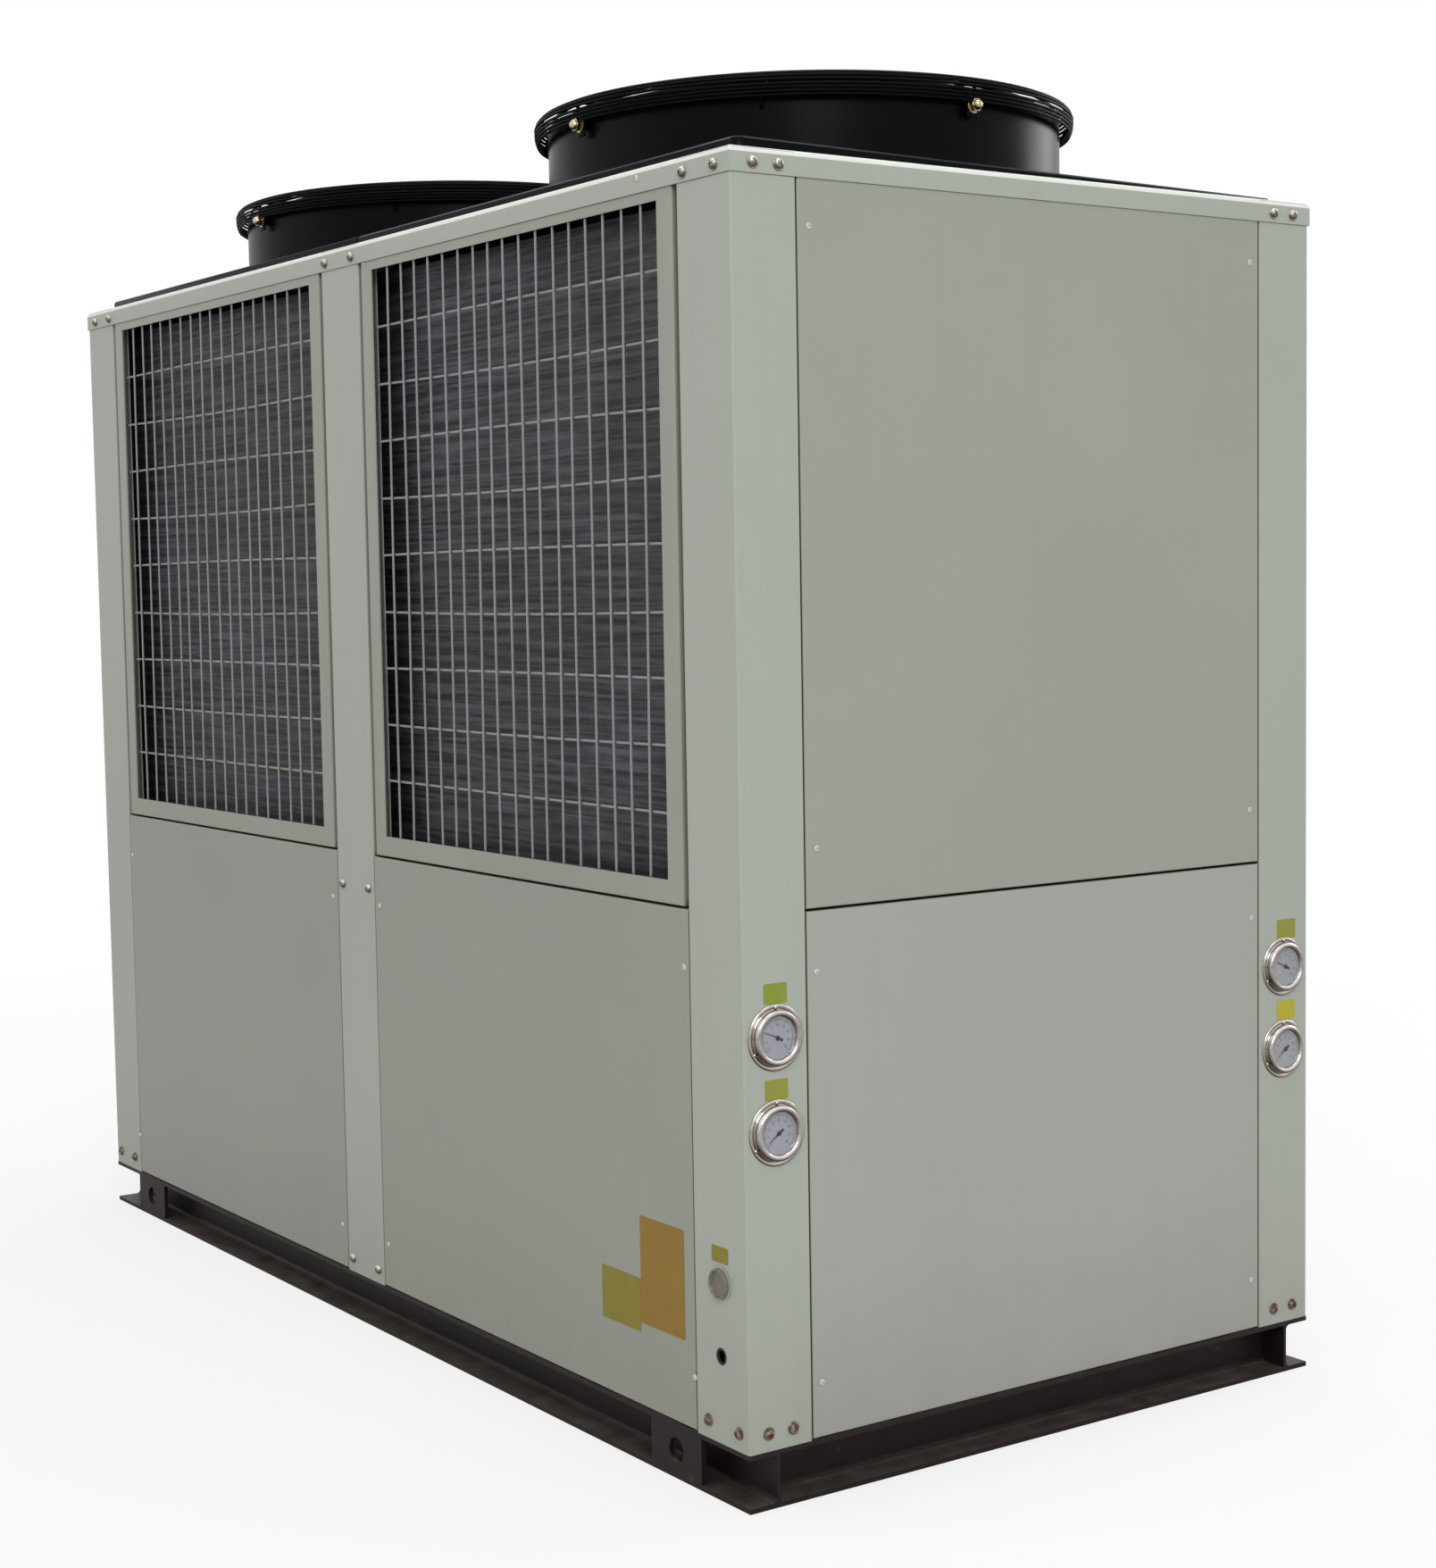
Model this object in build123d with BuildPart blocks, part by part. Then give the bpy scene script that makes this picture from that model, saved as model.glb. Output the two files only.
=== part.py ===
# Air-cooled packaged chiller: a sheet metal cabinet on a channel base, with two top fans.
# Millimetres. Origin at the bottom centre, +Z up, +X towards the end with the gauges,
# and -Y towards the long side called front.
import os
from math import cos, radians, sin

from build123d import *

os.makedirs("parts", exist_ok=True)

# Cabinet
cabinet_length = 2240
cabinet_width = 1070
cabinet_height = 1800
sheet = 2
bend_radius = 3
panel_depth = 20
panel_gap = 3
landing_width = 25

# Base frame of rolled channels with their flanges outward
channel_height = 80
channel_flange = 50
channel_web = 5
channel_flange_thickness = 7
channel_root_radius = 8
cross_member_spacing = 750
lifting_plate_width = 125
lifting_plate_thickness = 8
lifting_plate_from_end = 115
lifting_hole_radius = 18
lifting_hole_from_end = 177

# Posts, mullions and the height where lower and upper panels meet
post_long_face = 124
post_end_face = 105
mullion_width = 133
panel_split_height = 803

# Roof trim
trim_height = 34
trim_top_width = 60
trim_overlap = 8

# Condenser grilles
grille_joint = 5
grille_side_member = 43
grille_bottom_member = 33
grille_top_member = 23
grille_wire = 5
grille_wire_inset = 5
grille_layer_gap = 0.2
weld = 0.5
vertical_wires = 17
horizontal_wires = 9

# Condenser coils and the inner sheets that carry them
coil_thickness = 66
coil_setback = 52
coil_beam_gap = 4
coil_end_gap = 33
coil_from_middle = 25
tube_sheet_thickness = 3
tube_sheet_lip = 8
plenum_floor_height = 790
plenum_floor_edge = 25
roof_beam_height = 40
roof_beam_width = 70

# Fan decks, and the ducts that stand on them on a narrow flange
deck_rise = 20
deck_inset = 36
deck_corner_radius = 14
deck_edge_bevel = 3
deck_joint = 3
deck_sheet = 3
fan_offset = 560
duct_radius = 400
duct_height = 125
duct_sheet = 3
duct_foot_width = 10

# Fan guards, welded from rings on ribs that bend down over the rim of the duct
guard_rise = 17
guard_radius = 420
guard_rib = 6
guard_ring = 5
guard_ring_runs = 24
guard_inner_ring_radius = 130
guard_rings = 4
guard_ribs = 4
guard_lip_depth = 30
guard_plate_radius = 95
guard_plate_thickness = 3
guard_clip_width = 26
guard_clip_height = 30
guard_clip_thickness = 3
guard_clip_clearance = 0.3

# Fan motors hang from the guard plates and carry the rotors
motor_flange_width = 120
motor_flange_thickness = 8
shaft_radius = 20
shaft_clearance = 0.1
shaft_length = 74
shaft_end_gap = 5
hub_gap = 17
hub_radius = 120
hub_height = 84
blade_count = 5
blade_tip_clearance = 9
blade_sheet = 4
blade_chord = 210
blade_camber = 16
blade_pitch = 26
blade_root_inset = 35
blade_root_width = 120
blade_sweep = 30
blade_corner_radius = 40

# Gauges, plug and cable entry in the right-hand posts
gauge_flange_radius = 45
gauge_flange_thickness = 2
gauge_ring_radius = 35
gauge_ring_height = 11
gauge_face_radius = 29
gauge_dial_height = 4
gauge_heights = {"upper": 638, "lower": 510}
pointer_length = 22
pointer_tail = 7
pointer_width = 2.4
pointer_thickness = 1
pointer_turn = {"upper": 155, "lower": 215}
plug_radius = 24
plug_thickness = 7
plug_height = 301
cable_hole_radius = 11
cable_hole_height = 201

# Places that follow from the sizes above
half_length = cabinet_length / 2
half_width = cabinet_width / 2
inner_half_length = half_length - panel_depth - sheet
inner_half_width = half_width - panel_depth - sheet
rail_inner_y = half_width - channel_flange
post_top = cabinet_height - sheet
post_inner_x = half_length - post_long_face
post_inner_y = half_width - post_end_face
post_centre_x = half_length - post_long_face / 2
post_centre_y = half_width - post_end_face / 2
lower_panel_bottom = channel_height + panel_gap / 2
lower_panel_top = panel_split_height - panel_gap / 2
upper_panel_bottom = panel_split_height + panel_gap / 2
upper_panel_top = cabinet_height - trim_height + trim_overlap
deck_top = cabinet_height + deck_rise
duct_top = deck_top + duct_height
guard_top = duct_top + guard_rise


def save(piece, name):
    """Labels a piece with its node's name and writes it."""
    piece.label = name
    export_step(piece, f"parts/{name}.step")


def save_corners(piece, name, skip=()):
    """Writes a front right piece and its mirror images at the other three corners."""
    back = mirror(piece, about=Plane.XZ)
    corners = {
        "front_right": piece,
        "front_left": mirror(piece, about=Plane.YZ),
        "back_right": back,
        "back_left": mirror(back, about=Plane.YZ),
    }
    for corner, copy in corners.items():
        if corner not in skip:
            save(copy, f"{name}_{corner}")


def channel(start, length):
    """Makes a rolled channel from a plane: web on its y axis, flanges along its x axis."""
    with BuildPart() as rail:
        with BuildSketch(start):
            with Locations((0, channel_height / 2)):
                low_left = (Align.MIN, Align.CENTER)
                Rectangle(channel_flange, channel_height, align=low_left)
            with Locations((channel_web, channel_height / 2)):
                RectangleRounded(
                    2 * channel_flange,
                    channel_height - 2 * channel_flange_thickness,
                    channel_root_radius,
                    align=low_left,
                    mode=Mode.SUBTRACT,
                )
        extrude(amount=length)
    return rail.part


def folded_sheet(path, bends):
    """Folds a standing sheet along a path, to the path's left, with the named outer bends."""
    with BuildPart() as folded:
        with BuildSketch(Plane.XY.offset(channel_height)):
            with BuildLine():
                line = Polyline(*path)
                offset(line, amount=sheet, side=Side.LEFT, kind=Kind.INTERSECTION)
            make_face()
        extrude(amount=post_top - channel_height)
        upright = folded.edges().filter_by(Axis.Z)
        fillet([upright.sort_by_distance((*bend, post_top))[0] for bend in bends], bend_radius)
    return folded.part


def tray(face_plane, centre, width, height):
    """Makes a panel with its face outward and its edges folded back to the landings."""
    with BuildPart() as panel:
        with BuildSketch(face_plane.offset(-panel_depth)):
            with Locations(centre):
                Rectangle(width, height)
        extrude(amount=panel_depth)
        outward = Axis(face_plane.origin, face_plane.z_dir)
        fillet(panel.faces().sort_by(outward)[-1].edges(), bend_radius)
        with BuildSketch(face_plane.offset(-panel_depth)):
            with Locations(centre):
                Rectangle(width - 2 * sheet, height - 2 * sheet)
        extrude(amount=panel_depth - sheet, mode=Mode.SUBTRACT)
    return panel.part


# Base frame
front_rail_start = Plane(
    origin=(half_length, -rail_inner_y, 0), x_dir=(0, -1, 0), z_dir=(-1, 0, 0)
)
base_rail_front = channel(front_rail_start, cabinet_length)
save(base_rail_front, "base_rail_front")
save(mirror(base_rail_front, about=Plane.XZ), "base_rail_back")

end_rail_start = Plane(
    origin=(half_length - channel_flange, rail_inner_y, 0), x_dir=(1, 0, 0), z_dir=(0, -1, 0)
)
base_rail_right = channel(end_rail_start, 2 * rail_inner_y)
save(base_rail_right, "base_rail_right")
save(mirror(base_rail_right, about=Plane.YZ), "base_rail_left")

cross_start = Plane(
    origin=(cross_member_spacing / 2, rail_inner_y, 0), x_dir=(1, 0, 0), z_dir=(0, -1, 0)
)
cross_member_right = channel(cross_start, 2 * rail_inner_y)
save(cross_member_right, "cross_member_right")
save(mirror(cross_member_right, about=Plane.YZ), "cross_member_left")

# Lifting plates, welded between the flanges of the long rails
with BuildPart() as lifting_plate:
    with BuildSketch(Plane.XZ.offset(half_width - lifting_plate_thickness)):
        plate_x = half_length - lifting_plate_from_end - lifting_plate_width / 2
        with Locations((plate_x, channel_height / 2)):
            Rectangle(lifting_plate_width, channel_height - 2 * channel_flange_thickness)
        with Locations((half_length - lifting_hole_from_end, channel_height / 2)):
            Circle(lifting_hole_radius, mode=Mode.SUBTRACT)
    extrude(amount=lifting_plate_thickness)
    mirror(about=Plane.YZ)
    mirror(about=Plane.XZ)
save(lifting_plate.part, "lifting_plates")

# Floor pan on the rails
with BuildPart() as floor_pan:
    with BuildSketch(Plane.XY.offset(channel_height)):
        Rectangle(2 * inner_half_length, 2 * inner_half_width)
    extrude(amount=sheet)
save(floor_pan.part, "floor_pan")

# Corner posts: an L of sheet with a lip and a landing for the panel on each side
post_path = [
    (post_inner_x - landing_width, -half_width + panel_depth),
    (post_inner_x, -half_width + panel_depth),
    (post_inner_x, -half_width),
    (half_length, -half_width),
    (half_length, -post_inner_y),
    (half_length - panel_depth, -post_inner_y),
    (half_length - panel_depth, -post_inner_y + landing_width),
]
corner_post = folded_sheet(post_path, post_path[2:5])
save_corners(corner_post, "corner_post", skip=("front_right",))

cable_hole_place = Plane(origin=(post_centre_x, -half_width, cable_hole_height), z_dir=(0, -1, 0))
with BuildPart() as corner_post_front_right:
    add(corner_post)
    with Locations(cable_hole_place):
        Hole(cable_hole_radius, depth=panel_depth)
save(corner_post_front_right.part, "corner_post_front_right")

# Mullions between the two bays of each long side
half_mullion = mullion_width / 2
mullion_path = [
    (-half_mullion - landing_width, -half_width + panel_depth),
    (-half_mullion, -half_width + panel_depth),
    (-half_mullion, -half_width),
    (half_mullion, -half_width),
    (half_mullion, -half_width + panel_depth),
    (half_mullion + landing_width, -half_width + panel_depth),
]
mullion_front = folded_sheet(mullion_path, mullion_path[2:4])
save(mullion_front, "mullion_front")
save(mirror(mullion_front, about=Plane.XZ), "mullion_back")

# Panels
long_face = Plane.XZ.offset(half_width)
end_face = Plane.YZ.offset(half_length)
bay_width = post_inner_x - half_mullion
bay_centre = (post_inner_x + half_mullion) / 2
lower_height = lower_panel_top - lower_panel_bottom
lower_centre = (lower_panel_top + lower_panel_bottom) / 2
upper_height = upper_panel_top - upper_panel_bottom
upper_centre = (upper_panel_top + upper_panel_bottom) / 2

side_panel = tray(long_face, (bay_centre, lower_centre), bay_width - panel_gap, lower_height)
save_corners(side_panel, "side_panel")

end_width = 2 * post_inner_y - panel_gap
end_panels = {
    "lower": tray(end_face, (0, lower_centre), end_width, lower_height),
    "upper": tray(end_face, (0, upper_centre), end_width, upper_height),
}
for level, panel in end_panels.items():
    save(panel, f"end_panel_{level}_right")
    save(mirror(panel, about=Plane.YZ), f"end_panel_{level}_left")

# Condenser grilles: a folded frame with welded wires, vertical ones in front
frame_width = bay_width - 2 * grille_joint
opening_width = frame_width - 2 * grille_side_member
opening_height = upper_height - grille_bottom_member - grille_top_member
opening_centre = upper_panel_bottom + grille_bottom_member + opening_height / 2
vertical_pitch = opening_width / (vertical_wires + 1)
horizontal_pitch = opening_height / (horizontal_wires + 1)
vertical_depth = grille_wire_inset + grille_wire
horizontal_depth = vertical_depth + grille_layer_gap + grille_wire
with BuildPart() as grille:
    with BuildSketch(long_face.offset(-panel_depth)):
        with Locations((bay_centre, upper_centre)):
            Rectangle(frame_width, upper_height)
        with Locations((bay_centre, opening_centre)):
            Rectangle(opening_width, opening_height, mode=Mode.SUBTRACT)
    extrude(amount=panel_depth)
    offset(amount=-sheet, openings=grille.faces().sort_by(Axis.Y)[-1])
    with BuildSketch(long_face.offset(-vertical_depth)):
        with Locations((bay_centre, opening_centre)):
            with GridLocations(vertical_pitch, 0, vertical_wires, 1):
                Rectangle(grille_wire, opening_height + sheet)
    extrude(amount=grille_wire)
    with BuildSketch(long_face.offset(-horizontal_depth)):
        with Locations((bay_centre, opening_centre)):
            with GridLocations(0, horizontal_pitch, 1, horizontal_wires):
                Rectangle(opening_width + sheet, grille_wire)
    extrude(amount=grille_wire)
save_corners(grille.part, "grille")

# Plenum floor over the machine compartment, with its edges folded down
floor_top = plenum_floor_height + sheet
with BuildPart() as plenum_floor:
    with BuildSketch(Plane.XY.offset(floor_top - plenum_floor_edge)):
        Rectangle(2 * inner_half_length, 2 * inner_half_width)
    extrude(amount=plenum_floor_edge)
    offset(amount=-sheet, openings=plenum_floor.faces().sort_by(Axis.Z)[0])
save(plenum_floor.part, "plenum_floor")

# Roof beam inside the two mullions, and the partition between the fan bays
beam_bottom = post_top - roof_beam_height
with BuildPart() as roof_beam:
    with BuildSketch(Plane.XY.offset(beam_bottom)):
        Rectangle(roof_beam_width, 2 * (half_width - sheet))
    extrude(amount=roof_beam_height)
    offset(amount=-sheet, openings=roof_beam.faces().sort_by(Axis.Z)[0])
save(roof_beam.part, "roof_beam")

with BuildPart() as fan_partition:
    with BuildSketch(Plane.XY.offset(floor_top)):
        Rectangle(sheet, 2 * inner_half_width)
    extrude(amount=beam_bottom + roof_beam_height - sheet - floor_top)
save(fan_partition.part, "fan_partition")

# Condenser coils: a finned block between two tube sheets, standing on the plenum floor
coil_outer_y = half_width - coil_setback
coil_height = beam_bottom - coil_beam_gap - floor_top
coil_length = inner_half_length - coil_end_gap - coil_from_middle
with BuildPart() as coil:
    block_length = coil_length - 2 * tube_sheet_thickness
    block_centre = coil_from_middle + coil_length / 2
    with BuildSketch(Plane.XY.offset(floor_top)):
        with Locations((block_centre, -coil_outer_y + coil_thickness / 2)):
            Rectangle(block_length, coil_thickness)
            sheet_places = GridLocations(coil_length - tube_sheet_thickness, 0, 2, 1)
            with sheet_places:
                Rectangle(tube_sheet_thickness, coil_thickness + 2 * tube_sheet_lip)
    extrude(amount=coil_height)
save_corners(coil.part, "condenser_coil")

# Roof trim: four mitred angles round the top of the cabinet
trim_length = half_length + sheet
trim_width = half_width + sheet


def trim(side_plane, outward, reach, mitres):
    """Makes one angle of the roof trim from its section, and cuts its mitred ends."""
    with BuildPart() as angle:
        with BuildSketch(side_plane):
            with Locations((outward, cabinet_height)):
                corner = (Align.MIN if outward < 0 else Align.MAX, Align.MAX)
                Rectangle(sheet, trim_height, align=corner)
                Rectangle(trim_top_width, sheet, align=corner)
        extrude(amount=reach, both=True)
        for mitre in mitres:
            split(bisect_by=mitre, keep=Keep.BOTTOM)
    return angle.part


front_mitres = [
    Plane(origin=(trim_length, -trim_width, 0), z_dir=(1, 1, 0)),
    Plane(origin=(-trim_length, -trim_width, 0), z_dir=(-1, 1, 0)),
]
right_mitres = [
    Plane(origin=(trim_length, -trim_width, 0), z_dir=(-1, -1, 0)),
    Plane(origin=(trim_length, trim_width, 0), z_dir=(-1, 1, 0)),
]
roof_trim_front = trim(Plane.YZ, -trim_width, trim_length, front_mitres)
save(roof_trim_front, "roof_trim_front")
save(mirror(roof_trim_front, about=Plane.XZ), "roof_trim_back")
roof_trim_right = trim(Plane.XZ, trim_length, trim_width, right_mitres)
save(roof_trim_right, "roof_trim_right")
save(mirror(roof_trim_right, about=Plane.YZ), "roof_trim_left")

# Fan decks: a shallow pressed cover over each fan bay, with the opening for its duct
deck_end = half_length - deck_inset
deck_half_width = half_width - deck_inset
duct_inner_radius = duct_radius - duct_sheet
with BuildPart() as fan_deck:
    with BuildSketch(Plane.XY.offset(cabinet_height)):
        with Locations(((deck_end + deck_joint / 2) / 2, 0)):
            Rectangle(deck_end - deck_joint / 2, 2 * deck_half_width)
    extrude(amount=deck_rise)
    fillet(fan_deck.edges().filter_by(Axis.Z).group_by(Axis.X)[-1], deck_corner_radius)
    chamfer(fan_deck.faces().sort_by(Axis.Z)[-1].edges(), deck_edge_bevel)
    offset(amount=-deck_sheet, openings=fan_deck.faces().sort_by(Axis.Z)[0])
    with BuildSketch(Plane.XY.offset(cabinet_height)):
        with Locations((fan_offset, 0)):
            Circle(duct_inner_radius)
    extrude(amount=deck_rise, mode=Mode.SUBTRACT)
save(fan_deck.part, "fan_deck_right")
save(mirror(fan_deck.part, about=Plane.YZ), "fan_deck_left")

# Fan ducts: a rolled cylinder with a foot flange
duct_plane = Plane(origin=(fan_offset, 0, deck_top), x_dir=(1, 0, 0), z_dir=(0, -1, 0))
with BuildPart() as fan_duct:
    with BuildSketch(duct_plane):
        with BuildLine():
            Polyline(
                (duct_radius, duct_height),
                (duct_radius, duct_sheet),
                (duct_radius + duct_foot_width, duct_sheet),
                (duct_radius + duct_foot_width, 0),
                (duct_inner_radius, 0),
                (duct_inner_radius, duct_height),
                close=True,
            )
        make_face()
    revolve(axis=Axis((fan_offset, 0, 0), (0, 0, 1)))
save(fan_duct.part, "fan_duct_right")
save(mirror(fan_duct.part, about=Plane.YZ), "fan_duct_left")

# Fan guard, made on the Z axis and then placed over each duct
rib_height = guard_top - guard_ring - guard_rib / 2
rib_outer = guard_radius - guard_ring - guard_rib / 2 + weld
clip_inner = duct_radius + guard_clip_clearance
rib_foot = clip_inner + guard_clip_thickness + guard_rib / 2 - weld
rib_bottom = duct_top - guard_lip_depth
rib_shoulder = rib_height - guard_rib
ring_pitch = (rib_outer - guard_inner_ring_radius) / (guard_rings - 1)
plate_bottom = rib_height - guard_rib / 2 - guard_plate_thickness
with BuildPart() as guard_rib_wire:
    with BuildSketch(Plane.XZ):
        with BuildLine():
            rib_line = Polyline(
                (guard_inner_ring_radius / 4, rib_height),
                (rib_outer, rib_height),
                (rib_outer, rib_shoulder - guard_rib),
                (rib_foot, rib_bottom + guard_lip_depth / 2),
                (rib_foot, rib_bottom),
            )
            offset(rib_line, amount=guard_rib / 2, kind=Kind.INTERSECTION)
        make_face()
    extrude(amount=guard_rib / 2, both=True)

with BuildPart() as guard:
    with PolarLocations(0, guard_ribs):
        add(guard_rib_wire.part)
    with BuildSketch(Plane.XY.offset(plate_bottom)):
        Circle(guard_plate_radius)
    extrude(amount=guard_plate_thickness)
    with BuildSketch(Plane.XY.offset(guard_top - guard_ring)):
        for ring in range(guard_rings):
            ring_radius = rib_outer - ring * ring_pitch
            RegularPolygon(ring_radius + guard_ring / 2, guard_ring_runs)
            RegularPolygon(ring_radius - guard_ring / 2, guard_ring_runs, mode=Mode.SUBTRACT)
    extrude(amount=guard_ring)
    with BuildSketch(Plane.XY.offset(rib_shoulder - guard_ring)):
        RegularPolygon(guard_radius, guard_ring_runs)
        RegularPolygon(guard_radius - guard_ring, guard_ring_runs, mode=Mode.SUBTRACT)
    extrude(amount=guard_ring)
    with BuildSketch(Plane.XY.offset(rib_bottom)):
        with PolarLocations(clip_inner + guard_clip_thickness / 2, guard_ribs):
            Rectangle(guard_clip_thickness, guard_clip_width)
    extrude(amount=guard_clip_height)

# Fan motors: a flange under each guard plate, and the shaft
flange_bottom = plate_bottom - motor_flange_thickness
with BuildPart() as fan_motors:
    with BuildSketch(Plane.XY.offset(flange_bottom)):
        with GridLocations(2 * fan_offset, 0, 2, 1):
            Rectangle(motor_flange_width, motor_flange_width)
    extrude(amount=motor_flange_thickness)
    with BuildSketch(Plane.XY.offset(flange_bottom)):
        with GridLocations(2 * fan_offset, 0, 2, 1):
            Circle(shaft_radius)
    extrude(amount=-shaft_length)
save(fan_motors.part, "fan_motors")

# Blade: sheet rolled to an arc, set at its pitch and cut to a swept outline
hub_top = flange_bottom - hub_gap
hub_bottom = hub_top - hub_height
bore_bottom = flange_bottom - shaft_length - shaft_end_gap
blade_height = (hub_top + hub_bottom) / 2
blade_tip_radius = duct_inner_radius - blade_tip_clearance
blade_root_radius = hub_radius - blade_root_inset
half_chord = blade_chord / 2
chord_line = (0, cos(radians(blade_pitch)), sin(radians(blade_pitch)))
blade_start = Plane(origin=(blade_root_radius, 0, blade_height), x_dir=chord_line, z_dir=(1, 0, 0))
with BuildPart() as blade:
    with BuildSketch(blade_start):
        with BuildLine():
            low_arc = (0, blade_camber / 2)
            high_arc = (0, blade_camber / 2 + blade_sheet)
            ThreePointArc((-half_chord, -blade_camber / 2), low_arc, (half_chord, -blade_camber / 2))
            Line((half_chord, -blade_camber / 2), (half_chord, blade_sheet - blade_camber / 2))
            ThreePointArc(
                (half_chord, blade_sheet - blade_camber / 2),
                high_arc,
                (-half_chord, blade_sheet - blade_camber / 2),
            )
            Line((-half_chord, blade_sheet - blade_camber / 2), (-half_chord, -blade_camber / 2))
        make_face()
    extrude(amount=duct_radius - blade_root_radius)
    with BuildSketch(Plane.XY.offset(hub_bottom - blade_chord)) as outline:
        with BuildLine():
            Polyline(
                (blade_root_radius, -blade_root_width / 2),
                (duct_radius, blade_sweep - half_chord),
                (duct_radius, half_chord),
                (blade_root_radius, blade_root_width / 2),
                close=True,
            )
        make_face()
        Circle(blade_tip_radius, mode=Mode.INTERSECT)
        tip_corners = outline.vertices().group_by(Axis.X)[-1]
        fillet(tip_corners, blade_corner_radius)
    extrude(amount=2 * blade_chord + hub_height, mode=Mode.INTERSECT)

# Rotor: hub can with a blind bore for the shaft, and its blades
with BuildPart() as rotor:
    with BuildSketch(Plane.XY.offset(hub_bottom)):
        Circle(hub_radius)
    extrude(amount=hub_height)
    with PolarLocations(0, blade_count):
        add(blade.part)
    with BuildSketch(Plane.XY.offset(hub_top)):
        Circle(shaft_radius + shaft_clearance)
    extrude(amount=bore_bottom - hub_top, mode=Mode.SUBTRACT)

for side, fan_x in (("right", fan_offset), ("left", -fan_offset)):
    for name, made in (("fan_guard", guard), ("fan_rotor", rotor)):
        with BuildPart() as placed:
            with Locations((fan_x, 0, 0)):
                add(made.part)
        save(placed.part, f"{name}_{side}")

# Pressure gauges on the right-hand posts: a flange, a bezel and the dial sunk in it
gauge_planes = {
    (level, end): Plane(origin=(half_length, y, height), x_dir=(0, 1, 0), z_dir=(1, 0, 0))
    for level, height in gauge_heights.items()
    for end, y in (("front", -post_centre_y), ("back", post_centre_y))
}
with BuildPart() as gauge:
    with BuildSketch(Plane.XZ):
        with BuildLine():
            Polyline(
                (0, 0),
                (gauge_flange_radius, 0),
                (gauge_flange_radius, gauge_flange_thickness),
                (gauge_ring_radius, gauge_flange_thickness),
                (gauge_ring_radius, gauge_ring_height),
                (gauge_face_radius, gauge_ring_height),
                (gauge_face_radius, gauge_dial_height),
                (0, gauge_dial_height),
                close=True,
            )
        make_face()
    revolve(axis=Axis.Z)
with BuildPart() as gauges:
    with Locations(*gauge_planes.values()):
        add(gauge.part)
save(gauges.part, "gauges")

# Gauge pointers on their dials
with BuildPart() as pointer:
    with BuildSketch(Plane.XY.offset(gauge_dial_height)):
        with BuildLine():
            Polyline(
                (-pointer_tail, 0),
                (0, -pointer_width / 2),
                (pointer_length, 0),
                (0, pointer_width / 2),
                close=True,
            )
        make_face()
    extrude(amount=pointer_thickness)
with BuildPart() as gauge_pointers:
    for (level, end), place in gauge_planes.items():
        with Locations(place):
            add(pointer.part, rotation=(0, 0, pointer_turn[level]))
save(gauge_pointers.part, "gauge_pointers")

# Blanking plug on the front right post
with BuildPart() as blanking_plug:
    with BuildSketch(Plane(origin=(post_centre_x, -half_width, plug_height), z_dir=(0, -1, 0))):
        Circle(plug_radius)
    extrude(amount=plug_thickness)
save(blanking_plug.part, "blanking_plug")
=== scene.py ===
# Air-cooled packaged chiller: sheet metal cabinet on a channel base, wire grilles over finned coils,
# two ducted roof fans under ring guards, and pressure gauges in the posts of one end. Metres,
# +X towards the end with the gauges, -Y out of the front long side, +Z up.
from math import cos, pi, radians, sin

import bmesh
import bpy
from mathutils import Matrix, Vector
from mathutils.bvhtree import BVHTree


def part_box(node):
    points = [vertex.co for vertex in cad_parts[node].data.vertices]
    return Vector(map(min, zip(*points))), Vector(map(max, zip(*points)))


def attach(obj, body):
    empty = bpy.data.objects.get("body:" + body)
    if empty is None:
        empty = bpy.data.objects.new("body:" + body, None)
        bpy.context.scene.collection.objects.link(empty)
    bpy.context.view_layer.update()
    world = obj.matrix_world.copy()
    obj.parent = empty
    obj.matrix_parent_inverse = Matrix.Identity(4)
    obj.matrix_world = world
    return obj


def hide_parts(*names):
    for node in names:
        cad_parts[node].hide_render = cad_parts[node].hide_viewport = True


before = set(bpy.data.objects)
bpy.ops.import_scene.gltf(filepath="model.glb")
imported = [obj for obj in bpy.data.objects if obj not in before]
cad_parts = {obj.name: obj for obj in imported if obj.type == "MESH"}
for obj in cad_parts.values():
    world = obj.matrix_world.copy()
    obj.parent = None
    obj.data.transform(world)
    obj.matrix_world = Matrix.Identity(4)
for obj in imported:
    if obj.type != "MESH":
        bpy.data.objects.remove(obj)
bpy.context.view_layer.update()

# Camera, standing about 4.5 m off the near corner at chest height and looking a little down.
camera_data = bpy.data.cameras.new("photo_camera")
camera_data.lens = 58.5
camera_data.sensor_width = 36
camera = bpy.data.objects.new("photo_camera", camera_data)
bpy.context.collection.objects.link(camera)
camera_turn = (
    Matrix.Rotation(0.9675, 4, "Z")
    @ Matrix.Rotation(radians(90) - 0.0775, 4, "X")
    @ Matrix.Rotation(-0.0164, 4, "Z")
)
camera.matrix_world = Matrix.Translation((3.8318, -2.4367, 1.2359)) @ camera_turn
bpy.context.scene.camera = camera
bpy.context.scene.view_settings.view_transform = "Standard"


# Floor and surroundings: a plain pale studio floor, which keeps the object's shadow, under an
# even sky that the camera and every reflection see as white.
def linear(colour):
    """Turns an sRGB hex colour into the linear values that a shader takes."""
    parts = [int(colour[place:place + 2], 16) / 255 for place in (1, 3, 5)]
    return [p / 12.92 if p <= 0.04045 else ((p + 0.055) / 1.055) ** 2.4 for p in parts] + [1]


def add_node(tree, kind, feeds=None, **settings):
    """Adds a node, sets it up, and gives each input a value or a link."""
    node = tree.nodes.new("ShaderNode" + kind)
    for setting, value in settings.items():
        setattr(node, setting, value)
    for socket, feed in (feeds or {}).items():
        if isinstance(feed, bpy.types.NodeSocket):
            tree.links.new(feed, node.inputs[socket])
        else:
            node.inputs[socket].default_value = feed
    return node


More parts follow.
